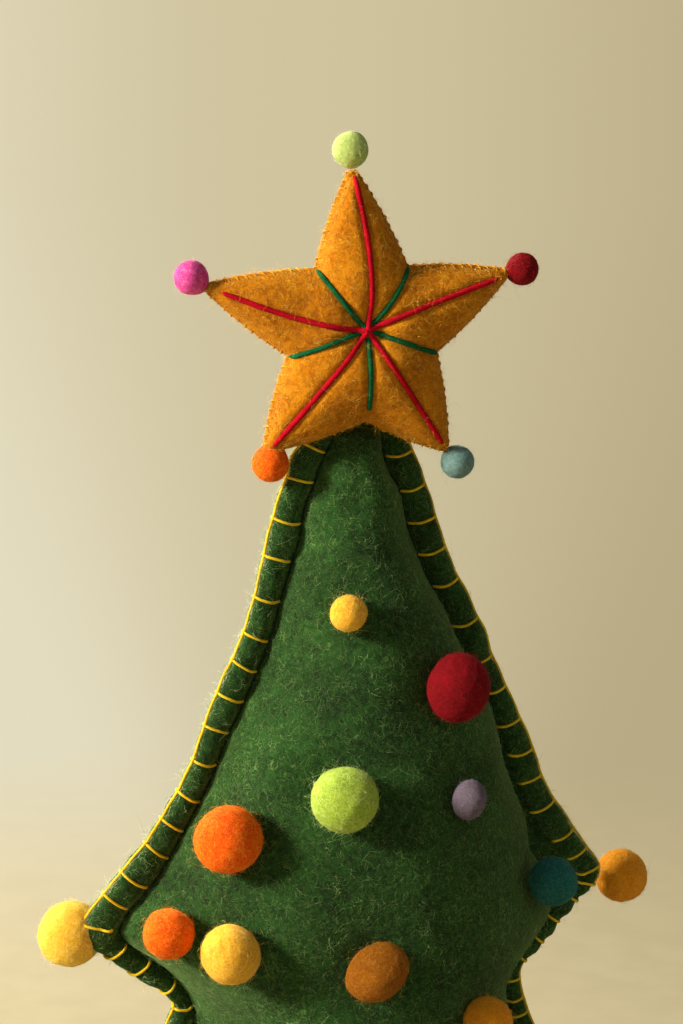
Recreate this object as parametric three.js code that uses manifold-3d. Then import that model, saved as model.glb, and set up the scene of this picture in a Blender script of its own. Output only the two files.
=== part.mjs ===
// A stuffed felt christmas tree with two tiers, a padded star and wool balls.
// Millimetres, +Z up. The origin is the middle of the flat foot, and the front faces -Y.

import * as THREE from 'three';
import { mergeVertices } from 'three/addons/utils/BufferGeometryUtils.js';
import Module from 'manifold-3d';

const wasm = await Module();
wasm.setup();

// Outline of the body: rises from the floor up, and half widths
const footRise = 26;
const lowerTierRise = 101;
const upperUndercut = 27;
const upperTierRise = 143;
const crownRise = 8;
const waistHalf = 58;
const upperTipReach = 28;
const lowerTipReach = 44;
const footInset = 22;
const shoulderHalf = 15;
const crownInset = 4;
const straightShare = 0.8;
const flareShare = 1 - straightShare;
const flarePower = 4;
const mitreShare = 1.5;

// Felt, seam and stuffing of the body
const felt = 3;
const gap = 0.3;
const fillGap = 0.6;
const border = 10.5;
const crownSeamHalf = 5.5;
const crownSeamDrop = 4;
const swellDepth = 4;
const plumpShare = 1.54;
const boardThick = 1.5;
const bagHeight = 26;
const bagCloth = 0.8;
const bagNeck = 9;
const bagMargin = 3;

// Yarn and thread
const yarn = 1.5;
const thread = 0.8;
const stitchPitch = 10.4;
const stitchReach = 7.8;
const cornerMargin = 7.6;

// Star, cut by hand: distance from its middle and turn off an even star, anticlockwise from the top
const starTips = [[46, 2.2], [46.6, 0.6], [44.4, -2.8], [44.7, -0.9], [46.4, 1.4]];
const starNotches = [[22.5, -1.1], [22.5, -0.2], [27.2, 3.6], [24.2, 0.4], [23.4, -1.8]];
const starTipRound = 2.2;
const starSwellDepth = 4;
const starPlumpShare = 0.5;
const starDimple = 3.5;
const starDimpleWidth = 8;
const starYarn = 1.5;
const starForward = 12;
const starLift = 25.7;
const starShift = 5.5;
const starTurn = 9.5;
const starLean = 5;
const starRoll = 3;
const starStitchReach = 2.4;
const tieSpread = 2.5;

// Wool balls
const smallBall = 11;
const mediumBall = 15;
const plumpBall = 17;
const largeBall = 19.5;
const starBall = 10.5;
const seatGap = 0.3;

// Slivers thinner than this are merged where tubes join
const mergeTolerance = 0.02;

// Heights that follow from the rises
const tipLow = footRise;
const waist = tipLow + lowerTierRise;
const tipHigh = waist + upperUndercut;
const shoulder = tipHigh + upperTierRise;
const top = shoulder + crownRise;
const seamTop = top - crownSeamDrop;
const upperTipHalf = waistHalf + upperTipReach;
const lowerTipHalf = waistHalf + lowerTipReach;
const footHalf = lowerTipHalf - footInset;
const feltFront = gap / 2 + felt;
const yarnPlane = feltFront + gap + yarn / 2;

// Each ball: share of the half seam width, share of the height, diameter, colour
const frontBallShares = {
  yellow_small: [-0.51, 0.818, smallBall, 0xe8b23a],
  red_large: [0.62, 0.745, largeBall, 0xb8101f],
  lime_large: [-0.4, 0.653, largeBall, 0x9fc04a],
  lavender_small: [0.47, 0.637, smallBall, 0x9a8fb0],
  orange_large: [-0.95, 0.612, largeBall, 0xe8560f],
  orange_medium: [-0.95, 0.521, mediumBall, 0xe85a10],
  yellow_plump: [-0.7, 0.507, plumpBall, 0xe3a535],
  mustard_plump: [-0.15, 0.49, plumpBall, 0xa8741c],
  teal_medium: [0.8, 0.542, mediumBall, 0x1d6f78],
  mustard_medium: [0.57, 0.418, mediumBall, 0xc98a1e],
  red_low: [-0.5, 0.32, largeBall, 0xb8101f],
  lime_low: [0.3, 0.3, plumpBall, 0x9fc04a],
  pink_low: [-0.12, 0.21, mediumBall, 0xd0458f],
  teal_low: [0.66, 0.17, mediumBall, 0x1d6f78],
  orange_low: [-0.68, 0.12, plumpBall, 0xe8560f],
};
const backBallShares = {
  red_small: [0.3, 0.8, smallBall, 0xb8101f],
  yellow_large: [-0.4, 0.7, largeBall, 0xe3a535],
  teal_large: [0.5, 0.62, largeBall, 0x1d6f78],
  orange_small: [-0.1, 0.58, smallBall, 0xe8560f],
  lime_medium: [-0.65, 0.51, mediumBall, 0x9fc04a],
  pink_medium: [0.2, 0.46, mediumBall, 0xd0458f],
  red_medium: [-0.3, 0.36, mediumBall, 0xb8101f],
  mustard_large: [0.5, 0.27, largeBall, 0xc98a1e],
  lavender_medium: [-0.35, 0.15, mediumBall, 0x9a8fb0],
};

// Each tip ball: side, height, tip half width, diameter, shares of its radius out, back and down, colour
const tipBallShares = {
  upper_left: [-1, tipHigh, upperTipHalf, largeBall, 0.2, 0.5, 0.35, 0xeab52c],
  upper_right: [1, tipHigh, upperTipHalf, plumpBall, 0.6, 0.25, 0.25, 0xe08a10],
  lower_left: [-1, tipLow, lowerTipHalf, plumpBall, 0.5, 0.3, 0.2, 0xb8101f],
  lower_right: [1, tipLow, lowerTipHalf, plumpBall, 0.5, 0.3, 0.2, 0x9fc04a],
};
const starBallColours = {
  top: 0xa9c36a,
  left: 0xd6459a,
  lower_left: 0xe8761a,
  lower_right: 0x8fb0b4,
  right: 0xb3122b,
};

// Numbers of steps
const seamSamples = 40;
const restTurns = 12;
const ribColumns = 12;
const starRingShares = [0.1, 0.25, 0.45, 0.65, 0.8, 0.88, 1];
const starSeamShare = 0.88;
const starInnerShare = 0.93;
const greenEndShare = 0.8;
const columnsPerArm = 6;
const tipColumn = 3;

// The edge of one tier falls straight at first and flares out near its tip
function tierHalf(z, topZ, topHalf, tipZ, tipHalf) {
  const s = (topZ - z) / (topZ - tipZ);
  return topHalf + (tipHalf - topHalf) * (straightShare * s + flareShare * s ** flarePower);
}

// Half width of the felt at a height
function halfWidth(z) {
  if (z >= shoulder) return shoulderHalf - crownInset * ((z - shoulder) / crownRise) ** 2;
  if (z >= tipHigh) return tierHalf(z, shoulder, shoulderHalf, tipHigh, upperTipHalf);
  if (z >= waist) return waistHalf + (upperTipReach * (z - waist)) / upperUndercut;
  if (z >= tipLow) return tierHalf(z, waist, waistHalf, tipLow, lowerTipHalf);
  return lowerTipHalf - (footInset * (tipLow - Math.max(z, 0))) / footRise;
}

// Half width at the seam: one border's width inside the felt's edge, all the way round
function seamHalf(z) {
  let half = Infinity;
  for (let i = -seamSamples; i <= seamSamples; i += 1) {
    const rise = (border * i) / seamSamples;
    const at = Math.min(Math.max(z + rise, 0), top);
    half = Math.min(half, halfWidth(at) - Math.sqrt(border ** 2 - rise ** 2));
  }
  return Math.max(half, crownSeamHalf);
}

// Evenly eased steps from one height to the next, closer together at the corners
function easedSteps(from, to, count) {
  const steps = [];
  for (let i = 0; i < count; i += 1) {
    steps.push(from + ((to - from) * (1 - Math.cos((Math.PI * i) / count))) / 2);
  }
  return steps;
}

const ribHeights = [
  ...easedSteps(0, tipLow, 3),
  ...easedSteps(tipLow, waist, 6),
  ...easedSteps(waist, tipHigh, 4),
  ...easedSteps(tipHigh, shoulder, 8),
  shoulder,
  seamTop,
  top,
];

// Straight pieces of seam that hold the panel down; the sides run on below the floor
const seamHeights = ribHeights.filter((z) => z <= seamTop);
const leftSeam = [
  [-seamHalf(0), -top],
  ...seamHeights.map((z) => [-seamHalf(z), z]),
];
const rightSeam = leftSeam.map(([x, z]) => [-x, z]).reverse();
const bodySeam = [...leftSeam, ...rightSeam];

// How far a point is from a seam all round: pi over the integral of one over distance squared
function reach(x, z, seam) {
  let sum = 0;
  for (let i = 0; i + 1 < seam.length; i += 1) {
    const [ax, az] = seam[i];
    const [bx, bz] = seam[i + 1];
    const length = Math.hypot(bx - ax, bz - az);
    const tx = (bx - ax) / length;
    const tz = (bz - az) / length;
    const along = (ax - x) * tx + (az - z) * tz;
    const off = Math.max(Math.abs((ax - x) * tz - (az - z) * tx), Number.EPSILON * top);
    sum += (Math.atan2(along + length, off) - Math.atan2(along, off)) / off;
  }
  return Math.PI / sum;
}

// Height of the stuffed panel over the seam's plane
function bodyBulge(x, z) {
  if (z >= seamTop || Math.abs(x) >= seamHalf(z)) return 0;
  const middle = reach(0, z, bodySeam);
  return Math.sqrt(reach(x, z, bodySeam) * (swellDepth + plumpShare * middle));
}

// Turn a list of rows of points, and a second one behind it, into one closed body
function closedSheet(outer, inner, flip) {
  const rows = outer.length;
  const columns = outer[0].length;
  const positions = [...outer.flat(), ...inner.flat()].flat();
  const faces = [];
  const back = rows * columns;
  const quad = (a, b, c, d) => faces.push([a, b, c], [a, c, d]);
  for (let i = 0; i + 1 < rows; i += 1) {
    for (let j = 0; j + 1 < columns; j += 1) {
      const a = i * columns + j;
      quad(a, a + 1, a + columns + 1, a + columns);
      quad(back + a, back + a + columns, back + a + columns + 1, back + a + 1);
    }
  }
  for (let j = 0; j + 1 < columns; j += 1) {
    const last = (rows - 1) * columns + j;
    quad(j, back + j, back + j + 1, j + 1);
    quad(last, last + 1, back + last + 1, back + last);
  }
  for (let i = 0; i + 1 < rows; i += 1) {
    const left = i * columns;
    const right = left + columns - 1;
    quad(left, left + columns, back + left + columns, back + left);
    quad(right, back + right, back + right + columns, right + columns);
  }
  return geometryFrom(positions, faces, flip);
}

// Rings of points, each as long as the next, with a middle point closing either end
function closedRings(rings, firstMiddle, lastMiddle, flip) {
  const size = rings[0].length;
  const positions = [...rings.flat(), firstMiddle, lastMiddle].flat();
  const first = rings.length * size;
  const last = first + 1;
  const faces = [];
  for (let j = 0; j < size; j += 1) {
    const k = (j + 1) % size;
    const end = first - size;
    faces.push([first, k, j], [last, end + j, end + k]);
    for (let i = 0; i < end; i += size) {
      faces.push([i + j, i + k, i + size + k], [i + j, i + size + k, i + size + j]);
    }
  }
  return geometryFrom(positions, faces, flip);
}

function geometryFrom(positions, faces, flip) {
  const geometry = new THREE.BufferGeometry();
  geometry.setAttribute('position', new THREE.Float32BufferAttribute(positions, 3));
  geometry.setIndex(faces.flatMap(([a, b, c]) => (flip ? [a, c, b] : [a, b, c])));
  return geometry;
}

// A tube of flat-sided section through points; a closed one joins its ends
function tube(points, radius, sides, closed) {
  const count = points.length;
  const at = (i) => points[closed ? (i + count) % count : Math.min(Math.max(i, 0), count - 1)];
  const rings = [];
  const turn = new THREE.Quaternion();
  let side = null;
  let lastAlong = null;
  for (let i = 0; i < count; i += 1) {
    const before = at(i).clone().sub(at(i - 1)).normalize();
    const after = at(i + 1).clone().sub(at(i)).normalize();
    const along = before.clone().add(after).normalize();
    const bends = before.lengthSq() > 0 && after.lengthSq() > 0;
    const stretch = bends ? 1 / Math.max(along.dot(after), 0.5) : 1;
    side = side ? side.applyQuaternion(turn.setFromUnitVectors(lastAlong, along)) : steadySide(along);
    lastAlong = along;
    const across = new THREE.Vector3().crossVectors(along, side);
    const bend = bends ? after.clone().sub(before).normalize() : new THREE.Vector3();
    const ring = [];
    for (let k = 0; k < sides; k += 1) {
      const angle = (2 * Math.PI * (k + 0.5)) / sides;
      const offset = side.clone().multiplyScalar(Math.cos(angle) * radius);
      offset.addScaledVector(across, Math.sin(angle) * radius);
      offset.addScaledVector(bend, offset.dot(bend) * (stretch - 1));
      ring.push(at(i).clone().add(offset).toArray());
    }
    rings.push(ring);
  }
  if (closed) return closedTube(rings);
  return closedRings(rings, at(0).toArray(), at(count - 1).toArray(), false);
}

// A direction square to the start of a tube
function steadySide(along) {
  const level = new THREE.Vector3(0, 1, 0);
  const other = new THREE.Vector3(1, 0, 0);
  const base = Math.abs(along.dot(level)) < Math.SQRT1_2 ? level : other;
  return base.addScaledVector(along, -base.dot(along)).normalize();
}

function closedTube(rings) {
  const size = rings[0].length;
  const faces = [];
  for (let i = 0; i < rings.length; i += 1) {
    const next = ((i + 1) % rings.length) * size;
    for (let j = 0; j < size; j += 1) {
      const k = (j + 1) % size;
      faces.push([i * size + j, i * size + k, next + k], [i * size + j, next + k, next + j]);
    }
  }
  return geometryFrom(rings.flat().flat(), faces, false);
}

// Solids for joining and cutting
function solidOf(geometry) {
  const bare = geometry.clone();
  bare.deleteAttribute('normal');
  bare.deleteAttribute('uv');
  const merged = mergeVertices(bare);
  return new wasm.Manifold(
    new wasm.Mesh({
      numProp: 3,
      vertProperties: new Float32Array(merged.attributes.position.array),
      triVerts: new Uint32Array(merged.index.array),
    }),
  );
}

function geometryOf(solid) {
  const mesh = solid.getMesh();
  const geometry = new THREE.BufferGeometry();
  geometry.setAttribute('position', new THREE.BufferAttribute(mesh.vertProperties, 3));
  geometry.setIndex(new THREE.BufferAttribute(mesh.triVerts, 1));
  return geometry;
}

function joined(geometries) {
  const whole = geometries.map(solidOf).reduce((sum, piece) => sum.add(piece));
  return geometryOf(whole.simplify(mergeTolerance));
}

const tree = new THREE.Group();
const star = new THREE.Group();
const finishes = {
  wool: { roughness: 0.95, metalness: 0 },
  cord: { roughness: 0.8, metalness: 0 },
  board: { roughness: 0.85, metalness: 0 },
};

function addPiece(group, name, geometry, colour, finish) {
  const material = new THREE.MeshStandardMaterial({ color: colour, ...finishes[finish] });
  const mesh = new THREE.Mesh(geometry, material);
  mesh.name = name;
  group.add(mesh);
  return mesh;
}

const green = 0x1f4a2c;
const filling = 0xe9e6df;
const yarnYellow = 0xd8b02a;
const mustard = 0xc58a1f;

// Angles across a rib, from seam to seam
const ribAngles = [];
for (let j = 0; j <= ribColumns; j += 1) {
  ribAngles.push(-Math.PI / 2 + (Math.PI * j) / ribColumns);
}
const ribs = ribHeights.map((z) => {
  const seam = seamHalf(z);
  const bulges = ribAngles.map((angle) => bodyBulge(seam * Math.sin(angle), z));
  return { z, edge: halfWidth(z), seam, bulges };
});

// One felt panel of the body: flat border, then the swell between the seams
function bodyPanel(side) {
  const outer = ribs.map(({ z, edge, seam, bulges }) => [
    [-edge, side * feltFront, z],
    ...ribAngles.map((a, j) => [seam * Math.sin(a), side * (feltFront + bulges[j]), z]),
    [edge, side * feltFront, z],
  ]);
  const inner = ribs.map(({ z, edge, seam, bulges }) => [
    [-edge, (side * gap) / 2, z],
    ...ribAngles.map((a, j) => [(seam - felt) * Math.sin(a), side * (gap / 2 + bulges[j]), z]),
    [edge, (side * gap) / 2, z],
  ]);
  return closedSheet(outer, inner, side > 0);
}
addPiece(tree, 'front_panel', bodyPanel(-1), green, 'wool');
addPiece(tree, 'back_panel', bodyPanel(1), green, 'wool');

// Outline of the hollow inside the panels at one rib, drawn in by a margin
function hollowLoop(rib, z, margin) {
  const wide = rib.seam - felt - margin;
  const front = ribAngles.map((angle, j) => {
    const depth = gap / 2 + rib.bulges[j];
    return [wide * Math.sin(angle), -Math.max(depth - margin, depth / 2), z];
  });
  const back = front.slice(1, -1).map(([x, y, height]) => [x, -y, height]);
  front[0][1] = 0;
  front[front.length - 1][1] = 0;
  return [...front, ...back.reverse()];
}

// A slab that fills the foot of the hollow
function footSlab(bottom, thickness, margin) {
  const rings = [
    hollowLoop(ribs[0], bottom, margin),
    hollowLoop(ribs[0], bottom + thickness, margin),
  ];
  return closedRings(rings, [0, 0, bottom], [0, 0, bottom + thickness], false);
}
const boardBottom = felt + gap;
const bagBottom = boardBottom + boardThick + gap;
const bagTop = bagBottom + bagHeight;
addPiece(tree, 'base_panel', footSlab(0, felt, gap), green, 'wool');
addPiece(tree, 'base_board', footSlab(boardBottom, boardThick, bagMargin), 0xb49a74, 'board');

// Rounded pouch in the foot: shares of its outline at rising heights
const bagHalf = footHalf - border - felt - bagMargin;
const bagWallsShare = 2;
const bagRoundShares = [
  [0.8, 0],
  [0.96, 0.12],
  [1, 0.4],
  [0.96, 0.78],
  [0.75, 0.95],
];
function pouchRing(share, z) {
  return hollowLoop(ribs[0], z, bagMargin).map(([x, y, height]) => [x * share, y * share, height]);
}
const neckRing = (radius, z) => {
  const loop = hollowLoop(ribs[0], z, bagMargin);
  return loop.map(([x, y, height]) => {
    const k = radius / Math.hypot(x, y);
    return [x * k, y * k, height];
  });
};
function weightBag() {
  const innerHeight = bagHeight - 2 * bagCloth;
  const innerShare = 1 - (bagWallsShare * bagCloth) / bagHalf;
  const skin = bagRoundShares.map(([share, rise]) => pouchRing(share, bagBottom + bagHeight * rise));
  const lining = bagRoundShares.map(([share, rise]) =>
    pouchRing(share * innerShare, bagBottom + bagCloth + innerHeight * rise),
  );
  const rings = [
    ...skin,
    neckRing(bagNeck, bagTop),
    neckRing(bagNeck - bagCloth, bagTop),
    ...lining.reverse(),
  ];
  return closedRings(rings, [0, 0, bagBottom], [0, 0, bagBottom + bagCloth], false);
}
addPiece(tree, 'weight_bag', weightBag(), 0xd9cfb8, 'wool');

function pellets() {
  const bottom = bagBottom + bagCloth + gap;
  const height = bagHeight - 2 * bagCloth - 2 * gap;
  const share = 1 - (bagWallsShare * (bagCloth + 2 * gap)) / bagHalf;
  const rings = bagRoundShares.map(([wide, rise]) => pouchRing(share * wide, bottom + height * rise));
  const crown = bottom + height * bagRoundShares[bagRoundShares.length - 1][1];
  return closedRings(rings, [0, 0, bottom], [0, 0, crown], false);
}
addPiece(tree, 'weight_pellets', pellets(), 0xbfae92, 'board');

// The rib at a height between two others, along the straight faces of the panels
function ribBetween(z) {
  const next = ribs.findIndex((rib) => rib.z > z);
  const below = ribs[next - 1];
  const above = ribs[next];
  const share = (z - below.z) / (above.z - below.z);
  const mixed = (low, high) => low + (high - low) * share;
  return {
    seam: mixed(below.seam, above.seam),
    bulges: below.bulges.map((low, j) => mixed(low, above.bulges[j])),
  };
}

// Wool filling from the bag up to the crown
function bodyStuffing() {
  const bottom = bagTop + gap;
  const high = ribs.filter(({ z }) => z > bottom && z < shoulder);
  const rings = high.map((rib) => hollowLoop(rib, rib.z, fillGap));
  rings.unshift(hollowLoop(ribBetween(bottom), bottom, fillGap));
  const end = high[high.length - 1].z;
  return closedRings(rings, [0, 0, bottom], [0, 0, end], false);
}
addPiece(tree, 'body_stuffing', bodyStuffing(), filling, 'wool');

// Points of the felt's edge on one side, foot first, and the same line moved outwards
function edgeLine(side) {
  return ribs.map(({ z, edge }) => new THREE.Vector2(side * edge, z));
}
function movedLine(line, distance, closed) {
  const count = line.length;
  return line.map((point, i) => {
    const before = closed || i > 0 ? line[(i - 1 + count) % count] : point;
    const after = closed || i + 1 < count ? line[(i + 1) % count] : point;
    const first = point.clone().sub(before).normalize();
    const second = after.clone().sub(point).normalize();
    const along = first.clone().add(second).normalize();
    const lead = second.lengthSq() > 0 ? second : first;
    const length = distance / Math.max(along.dot(lead), Math.SQRT1_2 / 2);
    return new THREE.Vector2(point.x + along.y * length, point.y - along.x * length);
  });
}

// A stitch that goes round an edge: in on one face, over the edge and in on the other
function wrapStitch(edgePoint, outward, inside, plane, radius) {
  const over = edgePoint.clone().addScaledVector(outward, gap + radius);
  const end = edgePoint.clone().addScaledVector(outward, -inside);
  const route = [
    new THREE.Vector3(end.x, -plane, end.y),
    new THREE.Vector3(over.x, -plane, over.y),
    new THREE.Vector3(over.x, plane, over.y),
    new THREE.Vector3(end.x, plane, end.y),
  ];
  return tube(route, radius, 4, false);
}

// Stitches at an even pitch along each straight-ish run between two corners
function stitchesAlong(line, outwardSign, place) {
  const stitches = [];
  const lengths = [0];
  for (let i = 1; i < line.length; i += 1) {
    lengths.push(lengths[i - 1] + line[i].distanceTo(line[i - 1]));
  }
  const whole = lengths[lengths.length - 1];
  const margin = Math.min(cornerMargin, whole / 2);
  const count = Math.round((whole - 2 * margin) / stitchPitch);
  for (let n = 0; n <= count; n += 1) {
    const target = margin + (count > 0 ? ((whole - 2 * margin) * n) / count : 0);
    let i = 1;
    while (lengths[i] < target) i += 1;
    const step = line[i].clone().sub(line[i - 1]).normalize();
    const point = line[i - 1].clone().addScaledVector(step, target - lengths[i - 1]);
    stitches.push(place(point, new THREE.Vector2(step.y * outwardSign, -step.x * outwardSign)));
  }
  return stitches;
}

function blanketStitch(side) {
  const edge = edgeLine(side);
  const outside = movedLine(edge, side * (gap + yarn / 2), false);
  outside[0].lerp(outside[1], (yarn / 2 - outside[0].y) / (outside[1].y - outside[0].y));
  const route = outside.map(({ x, y }) => new THREE.Vector3(x, 0, y));
  const crownEnd = route[route.length - 1];
  crownEnd.z = top + gap + yarn / 2;
  route.push(new THREE.Vector3(side * (tieSpread + thread + yarn), 0, crownEnd.z));
  const corners = [0, tipLow, waist, tipHigh, top].map((z) => ribHeights.indexOf(z));
  const pieces = [tube(route, yarn / 2, 5, false)];
  for (let i = 0; i + 1 < corners.length; i += 1) {
    const run = edge.slice(corners[i], corners[i + 1] + 1);
    pieces.push(
      ...stitchesAlong(run, side, (point, outward) => {
        const room = halfWidth(point.y) - seamHalf(point.y) - yarn - thread;
        return wrapStitch(point, outward, Math.min(stitchReach, room), yarnPlane, yarn / 2);
      }),
    );
  }
  return joined(pieces);
}
addPiece(tree, 'blanket_stitch_left', blanketStitch(-1), yarnYellow, 'cord');
addPiece(tree, 'blanket_stitch_right', blanketStitch(1), yarnYellow, 'cord');

// Sewing thread in the groove between the border and the swell
function seamThread(side, face) {
  const sewn = ribs.filter(({ z }) => z > 0 && z <= shoulder);
  const depth = face * (feltFront + gap + thread / 2);
  const route = sewn.map(({ z, seam }) => new THREE.Vector3(side * (seam + gap + thread), depth, z));
  return tube(route, thread / 2, 4, false);
}
for (const [faceName, face] of [['front', -1], ['back', 1]]) {
  for (const [sideName, side] of [['left', -1], ['right', 1]]) {
    addPiece(tree, `seam_thread_${faceName}_${sideName}`, seamThread(side, face), 0x16351f, 'cord');
  }
}

// Depth of the felt's outer face, or of the yarn on its border; nothing beyond the edge
function faceDepth(x, z) {
  if (z >= top || z < 0 || Math.abs(x) > halfWidth(z) + gap + yarn) return -Infinity;
  const { seam, bulges } = ribBetween(z);
  if (Math.abs(x) >= seam) return yarnPlane + yarn / 2;
  const next = ribAngles.findIndex((angle) => seam * Math.sin(angle) > x);
  const low = seam * Math.sin(ribAngles[next - 1]);
  const high = seam * Math.sin(ribAngles[next]);
  const share = (x - low) / (high - low);
  return feltFront + bulges[next - 1] + (bulges[next] - bulges[next - 1]) * share;
}

// A ball pushed straight onto the panel until it rests on the nearest point below it
const restSpots = [];
for (const radiusShare of [0, 0.3, 0.55, 0.75, 0.9]) {
  for (let i = 0; i < restTurns; i += 1) {
    restSpots.push([radiusShare, (2 * Math.PI * i) / restTurns]);
  }
}
function ballPlace(across, height, diameter, face) {
  const z = height * top;
  const x = across * seamHalf(z);
  const radius = diameter / 2 + seatGap;
  const depths = restSpots.map(([share, angle]) => {
    const px = x + radius * share * Math.cos(angle);
    const pz = z + radius * share * Math.sin(angle);
    return faceDepth(px, pz) + radius * Math.sqrt(1 - share ** 2);
  });
  return new THREE.Vector3(x, face * Math.max(...depths), z);
}
function ballShape(diameter) {
  const geometry = new THREE.IcosahedronGeometry(diameter / 2, diameter > smallBall ? 2 : 1);
  return geometryOf(solidOf(geometry));
}
for (const [name, [across, height, diameter, colour]] of Object.entries(frontBallShares)) {
  const ball = addPiece(tree, `ball_front_${name}`, ballShape(diameter), colour, 'wool');
  ball.position.copy(ballPlace(across, height, diameter, -1));
}
for (const [name, [across, height, diameter, colour]] of Object.entries(backBallShares)) {
  const ball = addPiece(tree, `ball_back_${name}`, ballShape(diameter), colour, 'wool');
  ball.position.copy(ballPlace(across, height, diameter, 1));
}

// Balls on the tier tips, slotted over the felt's edge and its yarn
const slotHalf = yarnPlane + yarn / 2 + gap;
const slotBeyond = (gap + yarn) * mitreShare + gap;
for (const [name, spec] of Object.entries(tipBallShares)) {
  const [side, z, tipHalf, diameter, outShare, backShare, downShare, colour] = spec;
  const radius = diameter / 2;
  const centre = new THREE.Vector3(side * (tipHalf + radius * outShare), radius * backShare, z);
  centre.z -= radius * downShare;
  const ball = new THREE.IcosahedronGeometry(radius, 2);
  ball.translate(centre.x, centre.y, centre.z);
  const slot = new THREE.BoxGeometry(2 * radius, 2 * slotHalf, 3 * radius);
  slot.translate(side * (tipHalf + slotBeyond - radius), 0, z);
  const cut = geometryOf(solidOf(ball).subtract(solidOf(slot)));
  addPiece(tree, `ball_tip_${name}`, cut, colour, 'wool');
}

// A point a given number of tenths of a turn from the top, moved in along its own direction
function atStep(tenths, [distance, turn], inward) {
  const angle = Math.PI / 2 + (Math.PI * tenths) / 5 + THREE.MathUtils.degToRad(turn);
  return new THREE.Vector2(Math.cos(angle), Math.sin(angle)).multiplyScalar(distance - inward);
}

// Where the straight side from a notch meets the rounded tip
function touching(centre, notch, way) {
  const toNotch = notch.clone().sub(centre);
  const angle = toNotch.angle() + way * Math.acos(starTipRound / toNotch.length());
  return new THREE.Vector2(Math.cos(angle), Math.sin(angle)).multiplyScalar(starTipRound).add(centre);
}

// Star outline: five arms with rounded tips, anticlockwise from the notch right of the top arm
function starOutline() {
  const points = [];
  for (let arm = 0; arm < 5; arm += 1) {
    const centre = atStep(2 * arm, starTips[arm], starTipRound);
    const first = atStep(2 * arm - 1, starNotches[(arm + 4) % 5], 0);
    const second = atStep(2 * arm + 1, starNotches[arm], 0);
    const entry = touching(centre, first, 1);
    const exit = touching(centre, second, -1);
    const tip = atStep(2 * arm, starTips[arm], 0);
    points.push(first, first.clone().lerp(entry, 0.5), entry, tip, exit, exit.clone().lerp(second, 0.5));
  }
  return points;
}
const starEdge = starOutline();
const starSeam = [...starEdge, starEdge[0]].map(({ x, y }) => [x * starSeamShare, y * starSeamShare]);

function starBulge(x, z, share) {
  if (share >= starSeamShare) return 0;
  const room = reach(x, z, starSeam);
  const dimple = starDimple * Math.exp(-(x * x + z * z) / starDimpleWidth ** 2);
  return Math.sqrt(room * (starSwellDepth + starPlumpShare * room)) - dimple;
}
const starRing = (share, inPlane, depth, face) =>
  starEdge.map(({ x, y }) => [
    x * share * inPlane,
    face * (depth + starBulge(x * share, y * share, share)),
    y * share * inPlane,
  ]);
const starMiddle = (depth, face) => [0, face * (depth + starBulge(0, 0, 0)), 0];

function starPanel(face) {
  const skin = starRingShares.map((share) => starRing(share, 1, feltFront, face));
  const lining = starRingShares.map((share) =>
    starRing(share, share < 1 ? starInnerShare : 1, gap / 2, face),
  );
  const rings = [...skin, ...lining.reverse()];
  return closedRings(rings, starMiddle(feltFront, face), starMiddle(gap / 2, face), face < 0);
}
addPiece(star, 'star_front_panel', starPanel(-1), mustard, 'wool');
addPiece(star, 'star_back_panel', starPanel(1), mustard, 'wool');

function starStuffing() {
  const shares = starRingShares.filter((share) => share < starSeamShare);
  const inward = starInnerShare ** 2;
  const front = shares.map((share) => starRing(share, inward, -gap, -1));
  const back = shares.map((share) => starRing(share, inward, -gap, 1));
  return closedRings([...front, ...back.reverse()], starMiddle(-gap, -1), starMiddle(-gap, 1), true);
}
addPiece(star, 'star_stuffing', starStuffing(), filling, 'wool');

// Thread whipped round the star's edge
const threadPlane = feltFront + gap + thread / 2;
function starEdgeThread() {
  const outside = movedLine(starEdge, gap + thread / 2, true);
  const loop = tube(outside.map(({ x, y }) => new THREE.Vector3(x, 0, y)), thread / 2, 4, true);
  const pieces = [loop];
  starEdge.forEach((point, i) => {
    const next = starEdge[(i + 1) % starEdge.length];
    const step = next.clone().sub(point);
    if (step.length() < 2 * starTipRound) return;
    step.normalize();
    const outward = new THREE.Vector2(step.y, -step.x);
    const middle = point.clone().lerp(next, 0.5);
    pieces.push(wrapStitch(middle, outward, starStitchReach, threadPlane, thread / 2));
  });
  return joined(pieces);
}
addPiece(star, 'star_edge_thread', starEdgeThread(), 0xb9851c, 'cord');

// Yarn laid from the star's middle along five lines; the red lies over the green there
function starYarnLines(face, firstColumn, lift, endShare) {
  const base = feltFront + gap + starYarn / 2;
  const arms = [];
  for (let arm = 0; arm < 5; arm += 1) {
    const { x, y } = starEdge[firstColumn + arm * columnsPerArm];
    const route = [new THREE.Vector3(0, face * (base + lift + starBulge(0, 0, 0)), 0)];
    for (const share of starRingShares.filter((value) => value <= endShare)) {
      const raised = share === starRingShares[0] ? lift : gap;
      const depth = base + raised + starBulge(x * share, y * share, share);
      route.push(new THREE.Vector3(x * share, face * depth, y * share));
    }
    arms.push(tube(route, starYarn / 2, 5, false));
  }
  return joined(arms);
}
for (const [faceName, face] of [['front', -1], ['back', 1]]) {
  const over = starYarn + 2 * gap;
  const greenLines = starYarnLines(face, 0, gap, greenEndShare);
  const redLines = starYarnLines(face, tipColumn, over, starSeamShare);
  addPiece(star, `star_yarn_green_${faceName}`, greenLines, 0x1c5a3a, 'cord');
  addPiece(star, `star_yarn_red_${faceName}`, redLines, 0xb0122e, 'cord');
}

// A ball beyond each tip of the star
const starBallBeyond = 2 * gap + thread + starBall / 2;
Object.entries(starBallColours).forEach(([name, colour], arm) => {
  const ball = addPiece(star, `star_ball_${name}`, ballShape(starBall), colour, 'wool');
  const place = atStep(2 * arm, starTips[arm], -starBallBeyond);
  ball.position.set(place.x, 0, place.y);
});

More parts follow.
